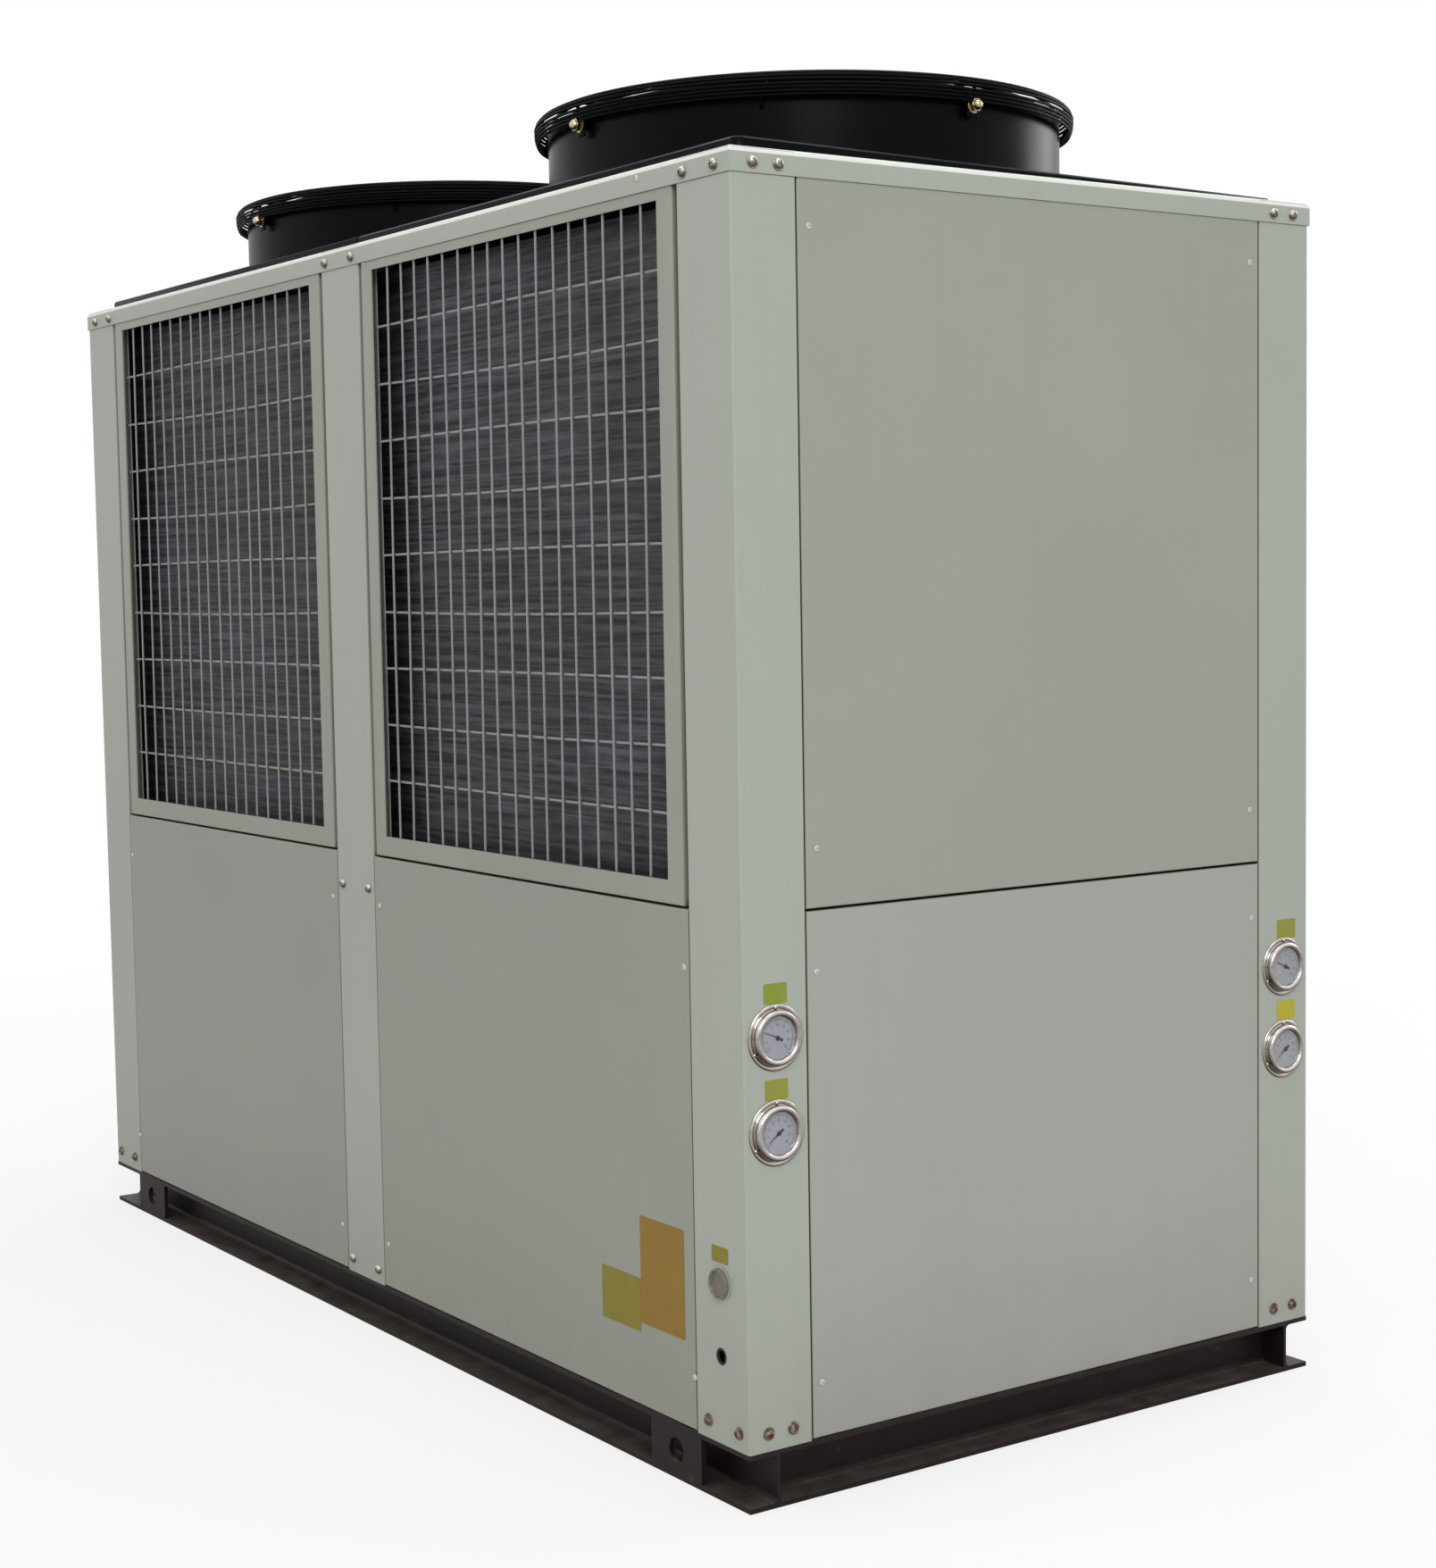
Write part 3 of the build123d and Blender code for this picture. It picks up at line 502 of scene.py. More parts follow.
# Fan motors: external rotor motors, each hung by its flange under the guard's centre plate. The
# plate is a pressed steel disc, and four hexagon bolts through it hold the motor.
def hexagon_bolt(bm, place, across_flats, head, washer):
    """Adds an upright hexagon bolt head on its washer."""
    ground = Matrix.Translation(place)
    disc = bmesh.ops.create_cone(bm, cap_ends=True, segments=24, radius1=washer, radius2=washer,
                                 depth=0.0016, matrix=ground @ Matrix.Translation((0, 0, 0.0008)))
    corner = across_flats / 2 / cos(radians(30))
    bolt = bmesh.ops.create_cone(bm, cap_ends=True, segments=6, radius1=corner, radius2=corner, depth=head,
                                 matrix=ground @ Matrix.Translation((0, 0, 0.0016 + head / 2)))["verts"]
    top = [f for f in bm.faces if all(v in bolt for v in f.verts) and f.normal.z > 0.9]
    bmesh.ops.bevel(bm, geom=list(top[0].edges), offset=head * 0.15, affect="EDGES", segments=2,
                    profile=0.5, material=-1)
    return disc


# Bright zinc plated steel, drawn near white on faces that look up and dark brown on faces that look down: painted
# light and reflection of a bright sky over dark ground.
bright_zinc, tree = new_material("bright_zinc_plated_steel")
place = add_node(tree, "TexCoord").outputs["Object"]
facing = add_node(tree, "SeparateXYZ", {"Vector": add_node(tree, "NewGeometry").outputs["Normal"]})
# Painted light: the colour follows how far each face turns up.
upward_painted_light = add_node(tree, "MapRange", {"Value": facing.outputs["Z"], "From Min": -0.5, "From Max": 0.6})
streaks_and_painted_light = add_node(tree, "Mix", {"Factor": upward_painted_light.outputs[0], "A": linear("#4C463E"), "B": linear("#DAD6CB")},
                  data_type="RGBA")
bloom = add_node(tree, "TexNoise", {"Vector": place, "Scale": 160.0, "Detail": 4.0})
chalky = add_node(tree, "MapRange", {"Value": bloom.outputs["Fac"], "From Min": 0.4, "From Max": 0.7,
                                     "To Max": 0.4})
plating = add_node(tree, "Mix", {"Factor": chalky.outputs[0], "A": streaks_and_painted_light.outputs["Result"],
                                 "B": linear("#8D8779")}, data_type="RGBA")
chalk = add_node(tree, "MapRange", {"Value": bloom.outputs["Fac"], "To Min": 0.22, "To Max": 0.5})
surface = add_node(tree, "BsdfPrincipled", {"Base Color": plating.outputs["Result"], "Metallic": 0.85,
                                            "Roughness": chalk.outputs[0]})
add_node(tree, "OutputMaterial", {"Surface": surface.outputs[0]})

plate_top = rib_height - rib_wire
for end, centre in (("right", 0.56), ("left", -0.56)):
    bm = bmesh.new()
    plate = bmesh.ops.create_cone(bm, cap_ends=True, segments=64, radius1=0.095, radius2=0.095, depth=0.003,
                                  matrix=Matrix.Translation((centre, 0, plate_top - 0.0015)))["verts"]
    upper = [f for f in bm.faces if f.normal.z > 0.9]
    bmesh.ops.inset_region(bm, faces=upper, thickness=0.008, depth=0)
    bmesh.ops.inset_region(bm, faces=upper, thickness=0.004, depth=0.002)
    bmesh.ops.inset_region(bm, faces=upper, thickness=0.052, depth=0)
    bmesh.ops.inset_region(bm, faces=upper, thickness=0.003, depth=-0.002)
    finish_piece(bm, f"motor_plate_{end}", "cabinet", black_enamel)
    bm = bmesh.new()
    for corner in range(4):
        turn = radians(45 + 90 * corner)
        hexagon_bolt(bm, (centre + 0.058 * cos(turn), 0.058 * sin(turn), plate_top + 0.002), 0.010, 0.0055, 0.0085)
    finish_piece(bm, f"motor_bolts_{end}", "cabinet", bright_zinc)


# Rotors: five blades of rolled sheet riveted on a spun hub can, painted satin black, and trimmed to
# the duct with a small running gap. They turn on the shafts of the motors.
# Satin air-drying enamel: dull, with a film of road dust on the faces that meet the air.
satin_black, tree = new_material("dusty_satin_black_enamel")
place = add_node(tree, "TexCoord").outputs["Object"]
film = add_node(tree, "TexNoise", {"Vector": place, "Scale": 18.0, "Detail": 6.0, "Roughness": 0.7})
thin = add_node(tree, "MapRange", {"Value": film.outputs["Fac"], "From Min": 0.35, "From Max": 0.8, "To Max": 0.5})
coat = add_node(tree, "Mix", {"Factor": thin.outputs[0], "A": linear("#141518"), "B": linear("#3A3733")},
                data_type="RGBA")
surface = add_node(tree, "BsdfPrincipled", {"Base Color": coat.outputs["Result"], "Roughness": 0.5,
                                            "Specular IOR Level": 0.35})
add_node(tree, "OutputMaterial", {"Surface": surface.outputs[0]})
dress(satin_black, "fan_rotor", "fan_motors")


# The hub can's cap is a pressed disc with cooling ribs, held by five bolts. Six rivets hold each
# blade's root to a bracket inside the can.
def spun(bm, profile, segments=64):
    """Adds a turned part from its (radius, height) profile."""
    points = [bm.verts.new((radius, 0, height)) for radius, height in profile]
    edges = [bm.edges.new(pair) for pair in zip(points, points[1:])]
    bmesh.ops.spin(bm, geom=points + edges, cent=(0, 0, 0), axis=(0, 0, 1), angle=2 * pi, steps=segments,
                   use_merge=True)
    bmesh.ops.remove_doubles(bm, verts=bm.verts, dist=1e-6)


blade_count, hub_radius, hub_top = 5, 0.120, 1.923
rivet_radius, rivet_rise = 0.0034, 0.0016
for end, centre in (("right", 0.56), ("left", -0.56)):
    bm = bmesh.new()
    spun(bm, [(radius, hub_top + rise) for radius, rise in (
        (0.0235, 0.0001), (0.0235, 0.0015), (0.030, 0.003), (0.088, 0.003), (0.092, 0.0015), (0.108, 0.0015),
        (0.113, 0.004), (0.118, 0.003), (0.1196, 0.0001), (0.0235, 0.0001))])
    for rib in range(20):
        bar = bmesh.ops.create_cube(bm, size=1)["verts"]
        bmesh.ops.scale(bm, vec=(0.048, 0.0024, 0.007), verts=bar)
        bmesh.ops.bevel(bm, geom=list({e for v in bar for e in v.link_edges if v.is_valid}), offset=0.0005,
                        affect="EDGES", segments=1, profile=0.5, material=-1)
        bar = [v for v in bm.verts if v.co.z < 0.1]
        turn = Matrix.Rotation(radians(18 * rib + 9), 4, "Z")
        bmesh.ops.transform(bm, matrix=turn @ Matrix.Translation((0.059, 0, hub_top + 0.0045)), verts=bar)
    bmesh.ops.translate(bm, vec=(centre, 0, 0), verts=bm.verts)
    finish_piece(bm, f"hub_cap_{end}", f"rotor_{end}", satin_black)
    bolts, rivets = bmesh.new(), bmesh.new()
    skin = BVHTree.FromPolygons([v.co[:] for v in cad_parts[f"fan_rotor_{end}"].data.vertices],
                                [p.vertices[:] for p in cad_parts[f"fan_rotor_{end}"].data.polygons])
    for blade in range(blade_count):
        around = 2 * pi * blade / blade_count
        hexagon_bolt(bolts, (centre + 0.100 * cos(around + 0.3), 0.100 * sin(around + 0.3), hub_top + 0.0015),
                     0.008, 0.0045, 0.0065)
        for row, reach in ((0, 0.133), (1, 0.147)):
            for step in (-1, 0, 1):
                angle = around + (0.21 - 0.03 * row) * step
                above = Vector((centre + reach * cos(angle), reach * sin(angle), 2.1))
                spot, normal, _, _ = skin.ray_cast(above, Vector((0, 0, -1)))
                if spot is None:
                    continue
                head = bmesh.ops.create_uvsphere(rivets, u_segments=14, v_segments=8, radius=rivet_radius)["verts"]
                bmesh.ops.scale(rivets, vec=(1, 1, rivet_rise / rivet_radius), verts=head)
                lay = Vector(normal).to_track_quat("Z", "Y").to_matrix().to_4x4()
                bmesh.ops.transform(rivets, matrix=Matrix.Translation(spot) @ lay, verts=head)
    finish_piece(bolts, f"hub_bolts_{end}", f"rotor_{end}", bright_zinc)
    finish_piece(rivets, f"blade_rivets_{end}", f"rotor_{end}", bright_zinc)


# Guard clips: strips of 3 mm steel on the foot of every second rib, each held off the duct by a
# spacer and clamped by a stud with a domed cap nut, plated yellow.
# Yellow passivated zinc: a thin golden film with a greenish cast on bright plating.
yellow_zinc, tree = new_material("yellow_passivated_zinc")
place = add_node(tree, "TexCoord").outputs["Object"]
film = add_node(tree, "TexNoise", {"Vector": place, "Scale": 90.0, "Detail": 3.0})
tinge = add_node(tree, "Mix", {"Factor": film.outputs["Fac"], "A": linear("#9C8757"), "B": linear("#E2D9BE")},
                 data_type="RGBA")
surface = add_node(tree, "BsdfPrincipled", {"Base Color": tinge.outputs["Result"], "Metallic": 1.0,
                                            "Roughness": 0.28})
add_node(tree, "OutputMaterial", {"Surface": surface.outputs[0]})

duct_outer, nut_height, spacer = 0.4003, 1.9205, 0.008
strip_width, strip_length, strip_sheet = 0.022, 0.034, 0.003
nut_corner, nut_depth, dome_radius = 0.0098, 0.008, 0.0078
for end, centre in (("right", 0.56), ("left", -0.56)):
    strips, nuts = bmesh.new(), bmesh.new()
    for quarter in range(4):
        spin = Matrix.Translation((centre, 0, 0)) @ Matrix.Rotation(radians(90 * quarter), 4, "Z")
        outward = spin @ Matrix.Translation((duct_outer, 0, nut_height)) @ Matrix.Rotation(radians(90), 4, "Y")
        bmesh.ops.create_cone(strips, cap_ends=True, segments=20, radius1=0.007, radius2=0.007, depth=spacer,
                              matrix=outward @ Matrix.Translation((0, 0, spacer / 2)))
        strip = bmesh.ops.create_cube(strips, size=1)["verts"]
        bmesh.ops.scale(strips, vec=(strip_length, strip_width, strip_sheet), verts=strip)
        bmesh.ops.bevel(strips, geom=list({e for v in strip for e in v.link_edges}), offset=0.0008,
                        affect="EDGES", segments=2, profile=0.5, material=-1)
        strip = [v for v in strips.verts if v.co.length < strip_length]
        bmesh.ops.transform(strips, matrix=outward @ Matrix.Translation((0, 0, spacer + strip_sheet / 2)),
                            verts=strip)
        stack = spacer + strip_sheet
        for corners, size, depth in ((28, 0.0108, 0.0018), (6, nut_corner, nut_depth)):
            bmesh.ops.create_cone(nuts, cap_ends=True, segments=corners, radius1=size, radius2=size,
                                  depth=depth, matrix=outward @ Matrix.Translation((0, 0, stack + depth / 2)))
            stack += depth
        bmesh.ops.create_uvsphere(nuts, u_segments=24, v_segments=14, radius=dome_radius,
                                  matrix=outward @ Matrix.Translation((0, 0, stack)))
    finish_piece(strips, f"guard_clips_{end}", "cabinet", black_enamel)
    finish_piece(nuts, f"guard_nuts_{end}", "cabinet", yellow_zinc)


# Duct rims and rivets: the rim of each duct is rolled over into a bead, which stiffens it. Zinc
# plated pop rivets hold its foot flange to the deck every 30 degrees.
for end, centre in (("right", 0.56), ("left", -0.56)):
    bm = bmesh.new()
    wire_ring(bm, centre, 0.3985, duct_rim - 0.0005, 0.0025, steps=128)
    finish_piece(bm, f"duct_bead_{end}", "cabinet", black_enamel)
    bm = bmesh.new()
    for step in range(12):
        turn = radians(15 + 30 * step)
        head = bmesh.ops.create_uvsphere(bm, u_segments=14, v_segments=8, radius=0.0038,
                                         matrix=Matrix.Translation((centre + 0.4052 * cos(turn), 0.4052 * sin(turn), 1.823)))
        bmesh.ops.scale(bm, vec=(1, 1, 0.5), verts=head["verts"], space=Matrix.Translation((0, 0, -1.823)))
    finish_piece(bm, f"duct_rivets_{end}", "cabinet", bright_zinc)


# Screws: pan heads with a cross recess. Big ones with a pressed collar hold the trim and the posts'
# feet, and small plain ones hold the panels. Those near the ground have begun to rust.
def mesh_object(bm, name):
    """Links a plain object that holds a mesh."""
    bmesh.ops.recalc_face_normals(bm, faces=bm.faces)
    mesh = bpy.data.meshes.new(name)
    bm.to_mesh(mesh)
    bm.free()
    made = bpy.data.objects.new(name, mesh)
    bpy.context.collection.objects.link(made)
    return made


def pan_screw(radius, height, collar=0.0, segments=28):
    """Makes a domed screw head on the XY plane, facing +Z, with its cross recess cut."""
    bm = bmesh.new()
    rise = 0.0014 if collar else 0.0
    foot = [(0, -0.0003), (collar, -0.0003), (collar, rise * 0.7), (collar - rise * 0.3, rise)] if collar else [
        (0, -0.0003), (radius, -0.0003)]
    dome = [(radius * cos(radians(a)), rise + height * (0.12 + 0.88 * sin(radians(a)))) for a in (0, 22, 45, 68)]
    spun(bm, foot + [(radius, rise)] + dome + [(0, rise + height)], segments)
    blank = mesh_object(bm, "screw_blank")
    bm = bmesh.new()
    arm, half, depth = radius * 0.58, radius * 0.13, height * 0.55
    corners = [Matrix.Rotation(radians(90 * quarter), 3, "Z") @ Vector((x, y, 0))
               for quarter in range(4) for x, y in ((half, -half), (arm, -half), (arm, half))]
    cross = bm.faces.new([bm.verts.new(corner) for corner in corners])
    raised = bmesh.ops.extrude_face_region(bm, geom=[cross])["geom"]
    bmesh.ops.translate(bm, vec=(0, 0, height), verts=[v for v in raised if isinstance(v, bmesh.types.BMVert)])
    bmesh.ops.translate(bm, vec=(0, 0, rise + height - depth), verts=bm.verts)
    cutter = mesh_object(bm, "cross_cutter")
    cut = blank.modifiers.new("recess", "BOOLEAN")
    cut.operation, cut.object, cut.solver = "DIFFERENCE", cutter, "EXACT"
    bpy.context.view_layer.update()
    result = bpy.data.meshes.new_from_object(blank.evaluated_get(bpy.context.evaluated_depsgraph_get()))
    bpy.data.objects.remove(blank)
    bpy.data.objects.remove(cutter)
    return result


def stamp(bm, pattern, place, outward, turn=0.0):
    """Adds a copy of a small mesh at a place, with its +Z turned outward."""
    start = len(bm.verts)
    bm.from_mesh(pattern)
    bm.verts.ensure_lookup_table()
    lay = Vector(outward).to_track_quat("Z", "Y").to_matrix().to_4x4()
    turned = Matrix.Translation(place) @ lay @ Matrix.Rotation(turn, 4, "Z")
    bmesh.ops.transform(bm, matrix=turned, verts=bm.verts[start:])


# Zinc plated steel that has stood near wet ground: brown rust creeps in from the washer's edge.
rusty_zinc, tree = new_material("rusting_zinc_plated_steel")
place = add_node(tree, "TexCoord").outputs["Object"]
bloom = add_node(tree, "TexNoise", {"Vector": place, "Scale": 130.0, "Detail": 5.0})
eaten = add_node(tree, "MapRange", {"Value": bloom.outputs["Fac"], "From Min": 0.42, "From Max": 0.56})
plating = add_node(tree, "Mix", {"Factor": eaten.outputs[0], "A": linear("#8B857A"), "B": linear("#5E4130")},
                   data_type="RGBA")
metal = add_node(tree, "MapRange", {"Value": eaten.outputs[0], "To Min": 0.8, "To Max": 0.15})
dull = add_node(tree, "MapRange", {"Value": eaten.outputs[0], "To Min": 0.35, "To Max": 0.8})
surface = add_node(tree, "BsdfPrincipled", {"Base Color": plating.outputs["Result"], "Metallic": metal.outputs[0],
                                            "Roughness": dull.outputs[0]})
add_node(tree, "OutputMaterial", {"Surface": surface.outputs[0]})

half_length, half_width = 1.12, 0.535
big_screw = pan_screw(0.0072, 0.0048, 0.0088)
small_screw = pan_screw(0.0046, 0.003)
trim_screws, foot_screws, panel_screws = bmesh.new(), bmesh.new(), bmesh.new()
turn = 0.3
for side in (1, -1):
    end_x, long_y = side * half_length, side * half_width
    for y in (-0.500, -0.459, 0.459, 0.500):
        stamp(trim_screws, big_screw, (end_x + side * trim_sheet, y, 1.780), (side, 0, 0), turn)
        turn += 0.9
    for x in (-1.079, -1.007, -0.0475, 0.0475, 1.015, 1.087):
        stamp(trim_screws, big_screw, (x, long_y + side * trim_sheet, 1.779), (0, side, 0), turn)
        turn += 0.9
    for y in (-0.503, -0.462, 0.462, 0.503):
        stamp(foot_screws, big_screw, (end_x, y, 0.104), (side, 0, 0), turn)
        turn += 0.9
    for x in (-1.097, -1.025, 1.025, 1.097):
        stamp(foot_screws, big_screw, (x, long_y, 0.105), (0, side, 0), turn)
        turn += 0.9
    for x, z in ((-0.047, 0.104), (0.047, 0.104), (-0.047, 0.747), (0.047, 0.747)):
        stamp(trim_screws, big_screw, (x, long_y, z), (0, side, 0), turn)
        turn += 0.9
    for x, z in ((0.086, 0.721), (0.984, 0.722), (0.085, 0.154), (0.993, 0.156)):
        for mirrored in (1, -1):
            stamp(panel_screws, small_screw, (x * mirrored, long_y, z), (0, side, 0), turn)
            turn += 0.9
    stamp(panel_screws, small_screw, (0.904, long_y + side * trim_sheet, 1.786), (0, side, 0), turn)
    for y, z in ((0.410, 1.7045), (0.410, 0.885), (0.413, 0.719), (0.413, 0.158)):
        for mirrored in (1, -1):
            stamp(panel_screws, small_screw, (end_x, y * mirrored, z), (side, 0, 0), turn)
            turn += 0.9
finish_piece(trim_screws, "trim_screws", "cabinet", bright_zinc)
finish_piece(foot_screws, "post_foot_screws", "cabinet", rusty_zinc)
# The panel screws have heads dipped in cream paint.
cream_paint, tree = new_material("cream_painted_screw_head")
place = add_node(tree, "TexCoord").outputs["Object"]
chips = add_node(tree, "TexNoise", {"Vector": place, "Scale": 240.0, "Detail": 3.0})
coat = add_node(tree, "Mix", {"Factor": chips.outputs["Fac"], "A": linear("#B5B3A4"), "B": linear("#DCDACB")},
                data_type="RGBA")
surface = add_node(tree, "BsdfPrincipled", {"Base Color": coat.outputs["Result"], "Roughness": 0.4})
add_node(tree, "OutputMaterial", {"Surface": surface.outputs[0]})
finish_piece(panel_screws, "panel_screws", "cabinet", cream_paint)


# Pressure gauges: polished stainless cases with a flange and three screws, an enamelled dial with a
# plain scale, a lance pointer and a flat glass. Two in each right-hand corner post.
# Polished stainless steel, drawn near white on every side that faces up and dark brown on every side
# that faces down: painted reflection of a bright sky over dark ground. Tea staining marks it in patches.
stainless, tree = new_material("polished_stainless_steel")
place = add_node(tree, "TexCoord").outputs["Object"]
# Painted reflection: the colour follows how far each face turns up.
facing = add_node(tree, "SeparateXYZ", {"Vector": add_node(tree, "NewGeometry").outputs["Normal"]})
upward_painted_light = add_node(tree, "MapRange", {"Value": facing.outputs["Z"], "From Min": -0.4, "From Max": 0.55})
streaks_and_painted_light = add_node(tree, "Mix", {"Factor": upward_painted_light.outputs[0], "A": linear("#55473F"), "B": linear("#EEEBE7")},
                  data_type="RGBA")
marks = add_node(tree, "TexNoise", {"Vector": place, "Scale": 60.0, "Detail": 3.0})
sheen = add_node(tree, "MapRange", {"Value": marks.outputs["Fac"], "To Min": 0.08, "To Max": 0.16})
stained = add_node(tree, "MapRange", {"Value": marks.outputs["Fac"], "From Min": 0.35, "From Max": 0.75,
                                      "To Max": 0.35})
warm = add_node(tree, "Mix", {"Factor": stained.outputs[0], "A": streaks_and_painted_light.outputs["Result"],
                              "B": linear("#8D8178")}, data_type="RGBA")
surface = add_node(tree, "BsdfPrincipled", {"Base Color": warm.outputs["Result"], "Metallic": 1.0,
                                            "Roughness": sheen.outputs[0]})
add_node(tree, "OutputMaterial", {"Surface": surface.outputs[0]})

# Baked white enamel on aluminium, coloured a mid bluish grey as painted shade of the recessed dial under its glass,
# and slightly mottled.
dial_enamel, tree = new_material("dial_enamel_painted_shade")
place = add_node(tree, "TexCoord").outputs["Object"]
mottle = add_node(tree, "TexNoise", {"Vector": place, "Scale": 70.0, "Detail": 3.0})
white = add_node(tree, "Mix", {"Factor": mottle.outputs["Fac"], "A": linear("#A3A4B0"), "B": linear("#B9BAC6")},
                 data_type="RGBA")
surface = add_node(tree, "BsdfPrincipled", {"Base Color": white.outputs["Result"], "Roughness": 0.45})
add_node(tree, "OutputMaterial", {"Surface": surface.outputs[0]})

# Screen printing ink: matt blue-black, a little uneven in its density.
dial_ink, tree = new_material("matt_black_dial_ink")
place = add_node(tree, "TexCoord").outputs["Object"]
density = add_node(tree, "TexNoise", {"Vector": place, "Scale": 400.0})
ink = add_node(tree, "Mix", {"Factor": density.outputs["Fac"], "A": linear("#15161C"), "B": linear("#2A2B33")},
               data_type="RGBA")
surface = add_node(tree, "BsdfPrincipled", {"Base Color": ink.outputs["Result"], "Roughness": 0.6})
add_node(tree, "OutputMaterial", {"Surface": surface.outputs[0]})

# Float glass: clear, flat and colourless.
clear_glass, tree = new_material("clear_float_glass")
place = add_node(tree, "TexCoord").outputs["Object"]
smears = add_node(tree, "TexNoise", {"Vector": place, "Scale": 35.0, "Detail": 2.0})
smooth_glass = add_node(tree, "MapRange", {"Value": smears.outputs["Fac"], "To Min": 0.0, "To Max": 0.05})
surface = add_node(tree, "BsdfPrincipled", {"Base Color": linear("#FFFFFF"), "Roughness": smooth_glass.outputs[0],
                                            "Transmission Weight": 1.0, "IOR": 1.45})
add_node(tree, "OutputMaterial", {"Surface": surface.outputs[0]})

flange_radius, bezel_radius, face_radius = 0.045, 0.0378, 0.029
dial_height, glass_height, bezel_height = 0.004, 0.0085, 0.011
roll_radius = (bezel_radius - face_radius) / 2
roll_middle = (bezel_radius + face_radius) / 2
case_profile = [
    (0, 0.0001), (flange_radius, 0.0001), (flange_radius, 0.0009), (flange_radius - 0.0006, 0.0018),
    (flange_radius - 0.0018, 0.0023), (flange_radius - 0.0042, 0.0023), (flange_radius - 0.0055, 0.0016),
    (bezel_radius + 0.0007, 0.0014), (bezel_radius, 0.0020),
] + [
    (roll_middle + roll_radius * cos(radians(a)), bezel_height - roll_radius * (1 - sin(radians(a))))
    for a in range(0, 181, 20)
] + [(face_radius, dial_height), (0, dial_height)]
gauge_places = [(level, end, Vector((half_length, y, z)))
                for level, z in (("upper", 0.638), ("lower", 0.510))
                for end, y in (("front", -0.4825), ("back", 0.4825))]
needle_turns = {"upper": radians(155), "lower": radians(215)}
cases, dials, prints, needles, glasses = (bmesh.new() for _ in range(5))
flange_screw = pan_screw(0.0028, 0.0018)
tick_count = 41
for level, end, place in gauge_places:
    stand = Matrix.Translation(place) @ Matrix(((0, 0, 1, 0), (1, 0, 0, 0), (0, 1, 0, 0), (0, 0, 0, 1)))

    def set_down(target, source, lift=0.0):
        """Moves what a small mesh holds onto this gauge's face."""
        mesh = bpy.data.meshes.new("part")
        source.to_mesh(mesh)
        source.free()
        start = len(target.verts)
        target.from_mesh(mesh)
        target.verts.ensure_lookup_table()
        bmesh.ops.transform(target, matrix=stand @ Matrix.Translation((0, 0, lift)), verts=target.verts[start:])
        bpy.data.meshes.remove(mesh)

    case = bmesh.new()
    spun(case, case_profile)
    set_down(cases, case)
    for hole in (90, 210, 330):
        at = stand @ Vector((0.0405 * cos(radians(hole)), 0.0405 * sin(radians(hole)), 0.002))
        stamp(cases, flange_screw, at, (1, 0, 0), radians(hole))
    face = bmesh.new()
    bmesh.ops.create_circle(face, cap_ends=True, segments=64, radius=face_radius - 0.0003,
                            matrix=Matrix.Translation((0, 0, dial_height + 0.0002)))
    set_down(dials, face)
    marks = bmesh.new()
    for tick in range(tick_count):
        turn = radians(225 - 270 * tick / (tick_count - 1))
        long_tick = tick % 5 == 0
        bar = bmesh.ops.create_grid(marks, x_segments=1, y_segments=1, size=0.5)["verts"]
        bmesh.ops.scale(marks, vec=(0.0042 if long_tick else 0.0024, 0.0007 if long_tick else 0.00035, 1), verts=bar)
        bmesh.ops.translate(marks, vec=(0.0258 - (0.0021 if long_tick else 0.0012), 0, 0), verts=bar)
        bmesh.ops.rotate(marks, matrix=Matrix.Rotation(turn, 3, "Z"), verts=bar)
    sweep = marks.verts[:]
    arc = [marks.verts.new((r * cos(radians(225)), r * sin(radians(225)), 0)) for r in (0.0256, 0.0259)]
    line = marks.edges.new(arc)
    bmesh.ops.spin(marks, geom=arc + [line], cent=(0, 0, 0), axis=(0, 0, 1), angle=-radians(270), steps=54)
    set_down(prints, marks, dial_height + 0.00035)
    for step in range(9):
        number = bpy.data.curves.new("number", "FONT")
        number.body, number.size = str(step * 5), 0.0048
        number.align_x, number.align_y = "CENTER", "CENTER"
        lettering = bpy.data.objects.new("number", number)
        bpy.context.collection.objects.link(lettering)
        bpy.context.view_layer.update()
        flat = bpy.data.meshes.new_from_object(lettering.evaluated_get(bpy.context.evaluated_depsgraph_get()))
        bpy.data.objects.remove(lettering)
        turn = radians(225 - 270 * step / 8)
        start = len(prints.verts)
        prints.from_mesh(flat)
        prints.verts.ensure_lookup_table()
        at = stand @ Matrix.Translation((0.0178 * cos(turn), 0.0178 * sin(turn), dial_height + 0.00035))
        bmesh.ops.transform(prints, matrix=at, verts=prints.verts[start:])
    needle = bmesh.new()
    blade = [needle.verts.new(point) for point in ((0.0215, 0, 0), (0, 0.0011, 0), (-0.0085, 0.0017, 0),
                                                   (-0.0085, -0.0017, 0), (0, -0.0011, 0))]
    plate = needle.faces.new(blade)
    raised = bmesh.ops.extrude_face_region(needle, geom=[plate])["geom"]
    bmesh.ops.translate(needle, vec=(0, 0, 0.0006), verts=[v for v in raised if isinstance(v, bmesh.types.BMVert)])
    bmesh.ops.create_cone(needle, cap_ends=True, segments=28, radius1=0.0034, radius2=0.0028, depth=0.0016,
                          matrix=Matrix.Translation((0, 0, 0.0008)))
    bmesh.ops.rotate(needle, matrix=Matrix.Rotation(needle_turns[level], 3, "Z"), verts=needle.verts)
    set_down(needles, needle, dial_height + 0.0012)
    pane = bmesh.new()
    bmesh.ops.create_cone(pane, cap_ends=True, segments=64, radius1=face_radius - 0.0002,
                          radius2=face_radius - 0.0002, depth=0.0015,
                          matrix=Matrix.Translation((0, 0, glass_height - 0.002)))
    set_down(glasses, pane)
gauge_cases = finish_piece(cases, "gauge_cases", "cabinet", stainless)
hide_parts("gauges")
finish_piece(dials, "gauge_dials", "cabinet", dial_enamel)
finish_piece(prints, "gauge_scales", "cabinet", dial_ink)
pointers = finish_piece(needles, "gauge_needles", "cabinet", dial_ink)
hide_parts("gauge_pointers")
finish_piece(glasses, "gauge_glass", "cabinet", clear_glass)


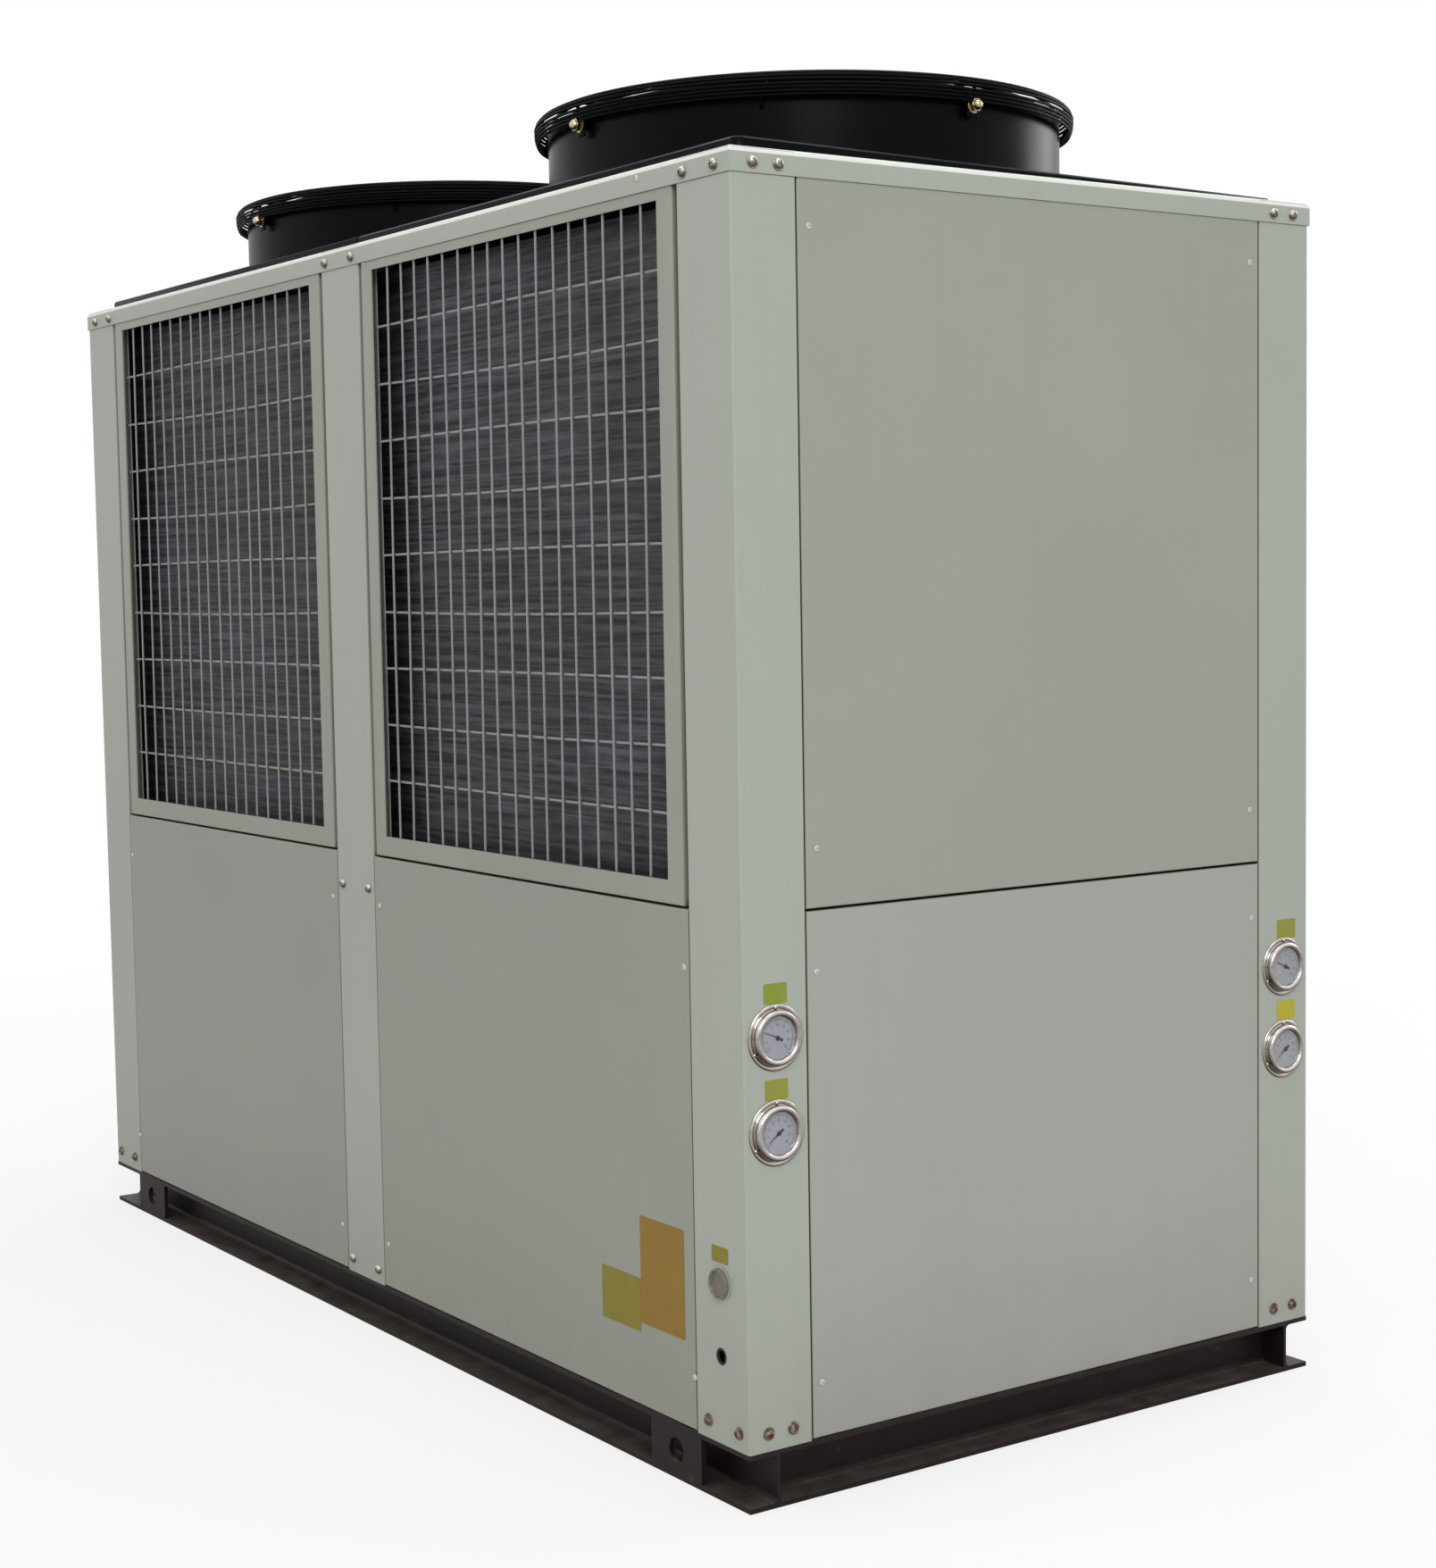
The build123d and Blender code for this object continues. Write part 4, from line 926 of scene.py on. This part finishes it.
# Stickers: blank vinyl labels with rounded corners, over each gauge, over the plug, and two larger
# ones low on the front panel. The colour is printed, and the film is semi-gloss.
def vinyl(name, colour, faded):
    """Makes a printed vinyl film of one colour, sun-faded in patches."""
    material, tree = new_material(name)
    place = add_node(tree, "TexCoord").outputs["Object"]
    sun = add_node(tree, "TexNoise", {"Vector": place, "Scale": 30.0, "Detail": 4.0})
    film = add_node(tree, "Mix", {"Factor": sun.outputs["Fac"], "A": linear(colour), "B": linear(faded)},
                    data_type="RGBA")
    bubbles = add_node(tree, "Bump", {"Height": sun.outputs["Fac"], "Strength": 0.2, "Distance": 0.0005})
    surface = add_node(tree, "BsdfPrincipled", {"Base Color": film.outputs["Result"], "Roughness": 0.42,
                                                "Specular IOR Level": 0.3, "Normal": bubbles.outputs[0]})
    add_node(tree, "OutputMaterial", {"Surface": surface.outputs[0]})
    return material


lime_vinyl = vinyl("lime_printed_vinyl", "#7C8B20", "#8B9938")
moss_vinyl = vinyl("moss_printed_vinyl", "#86892A", "#93963F")
yellow_vinyl = vinyl("yellow_printed_vinyl", "#AFA226", "#BAAE40")
mustard_vinyl = vinyl("mustard_printed_vinyl", "#7F7616", "#8B8229")
amber_vinyl = vinyl("amber_printed_vinyl", "#866612", "#947421")
olive_vinyl = vinyl("olive_printed_vinyl", "#7B7016", "#8A8024")
for name, material, middle, width, tall, outward in (
    ("label_upper_front", lime_vinyl, (1.12, -0.482, 0.6970), 0.038, 0.027, (1, 0, 0)),
    ("label_lower_front", moss_vinyl, (1.12, -0.482, 0.5680), 0.038, 0.027, (1, 0, 0)),
    ("label_upper_back", moss_vinyl, (1.12, 0.489, 0.6960), 0.040, 0.029, (1, 0, 0)),
    ("label_lower_back", yellow_vinyl, (1.12, 0.489, 0.5700), 0.040, 0.029, (1, 0, 0)),
    ("label_plug", mustard_vinyl, (1.0578, -0.535, 0.3405), 0.039, 0.022, (0, -1, 0)),
    ("label_olive_large", olive_vinyl, (0.808, -0.535, 0.2265), 0.102, 0.077, (0, -1, 0)),
    ("label_amber_large", amber_vinyl, (0.9155, -0.535, 0.2790), 0.111, 0.154, (0, -1, 0)),
):
    bm = bmesh.new()
    card = bmesh.ops.create_grid(bm, x_segments=1, y_segments=1, size=0.5)["verts"]
    bmesh.ops.scale(bm, vec=(width, tall, 1), verts=card)
    bmesh.ops.bevel(bm, geom=bm.verts[:], offset=0.002, affect="VERTICES", segments=4, profile=0.5, material=-1)
    raised = bmesh.ops.extrude_face_region(bm, geom=bm.faces[:])["geom"]
    bmesh.ops.translate(bm, vec=(0, 0, 0.0003), verts=[v for v in raised if isinstance(v, bmesh.types.BMVert)])
    across = Vector((0, 0, 1)).cross(outward)
    stick = Matrix((across, (0, 0, 1), outward)).transposed().to_4x4()
    bmesh.ops.transform(bm, matrix=Matrix.Translation(middle) @ stick, verts=bm.verts)
    finish_piece(bm, name, "cabinet", material)


# Blanking plug: a moulded polyamide cap with a rolled rim and a dished face, pressed into an unused
# knock-out of the front right post. Below it the cable hole has a moulded rubber edge.
# Moulded polyamide: grey, slightly translucent, with faint flow marks. Its flange was painted over
# with the post.
polyamide, tree = new_material("moulded_grey_polyamide")
place = add_node(tree, "TexCoord").outputs["Object"]
flow = add_node(tree, "TexNoise", {"Vector": place, "Scale": 40.0, "Detail": 3.0})
tone = add_node(tree, "Mix", {"Factor": flow.outputs["Fac"], "A": linear("#69645D"), "B": linear("#7C776F")},
                data_type="RGBA")
surface = add_node(tree, "BsdfPrincipled", {"Base Color": tone.outputs["Result"], "Roughness": 0.34,
                                            "Subsurface Weight": 0.05})
add_node(tree, "OutputMaterial", {"Surface": surface.outputs[0]})
bm = bmesh.new()
spun(bm, [(0, 0.00005), (0.024, 0.00005), (0.024, 0.0006), (0.0232, 0.0010), (0.0209, 0.0012), (0.0207, 0.0054),
          (0.0202, 0.0064), (0.0193, 0.0067), (0.0184, 0.0063), (0.0178, 0.0052), (0.0168, 0.0016),
          (0.0150, 0.0009), (0, 0.0008)], segments=56)
for face in bm.faces:
    face.material_index = int(face.calc_center_median().xy.length > 0.0209)
bmesh.ops.rotate(bm, matrix=Matrix.Rotation(radians(90), 3, "X"), verts=bm.verts)
bmesh.ops.translate(bm, vec=(1.058, -half_width, 0.301), verts=bm.verts)
plug = finish_piece(bm, "knockout_plug", "cabinet", polyamide, frame_coat)
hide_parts("blanking_plug")

# Vulcanised rubber: black, matt, bloomed grey in places.
rubber, tree = new_material("vulcanised_black_rubber")
place = add_node(tree, "TexCoord").outputs["Object"]
bloom = add_node(tree, "TexNoise", {"Vector": place, "Scale": 90.0, "Detail": 4.0})
tone = add_node(tree, "Mix", {"Factor": bloom.outputs["Fac"], "A": linear("#131313"), "B": linear("#2B2B2A")},
                data_type="RGBA")
surface = add_node(tree, "BsdfPrincipled", {"Base Color": tone.outputs["Result"], "Roughness": 0.7})
add_node(tree, "OutputMaterial", {"Surface": surface.outputs[0]})
bm = bmesh.new()
spun(bm, [(0.0088, -0.0032), (0.0088, 0.0004), (0.0094, 0.0011), (0.0108, 0.0011), (0.0116, 0.0006), (0.0117, 0.0001),
          (0.0109, 0.0001), (0.0109, -0.0032), (0.0088, -0.0032)], segments=40)
bmesh.ops.rotate(bm, matrix=Matrix.Rotation(radians(90), 3, "X"), verts=bm.verts)
bmesh.ops.translate(bm, vec=(1.058, -half_width, 0.201), verts=bm.verts)
finish_piece(bm, "cable_hole_edge", "cabinet", rubber)
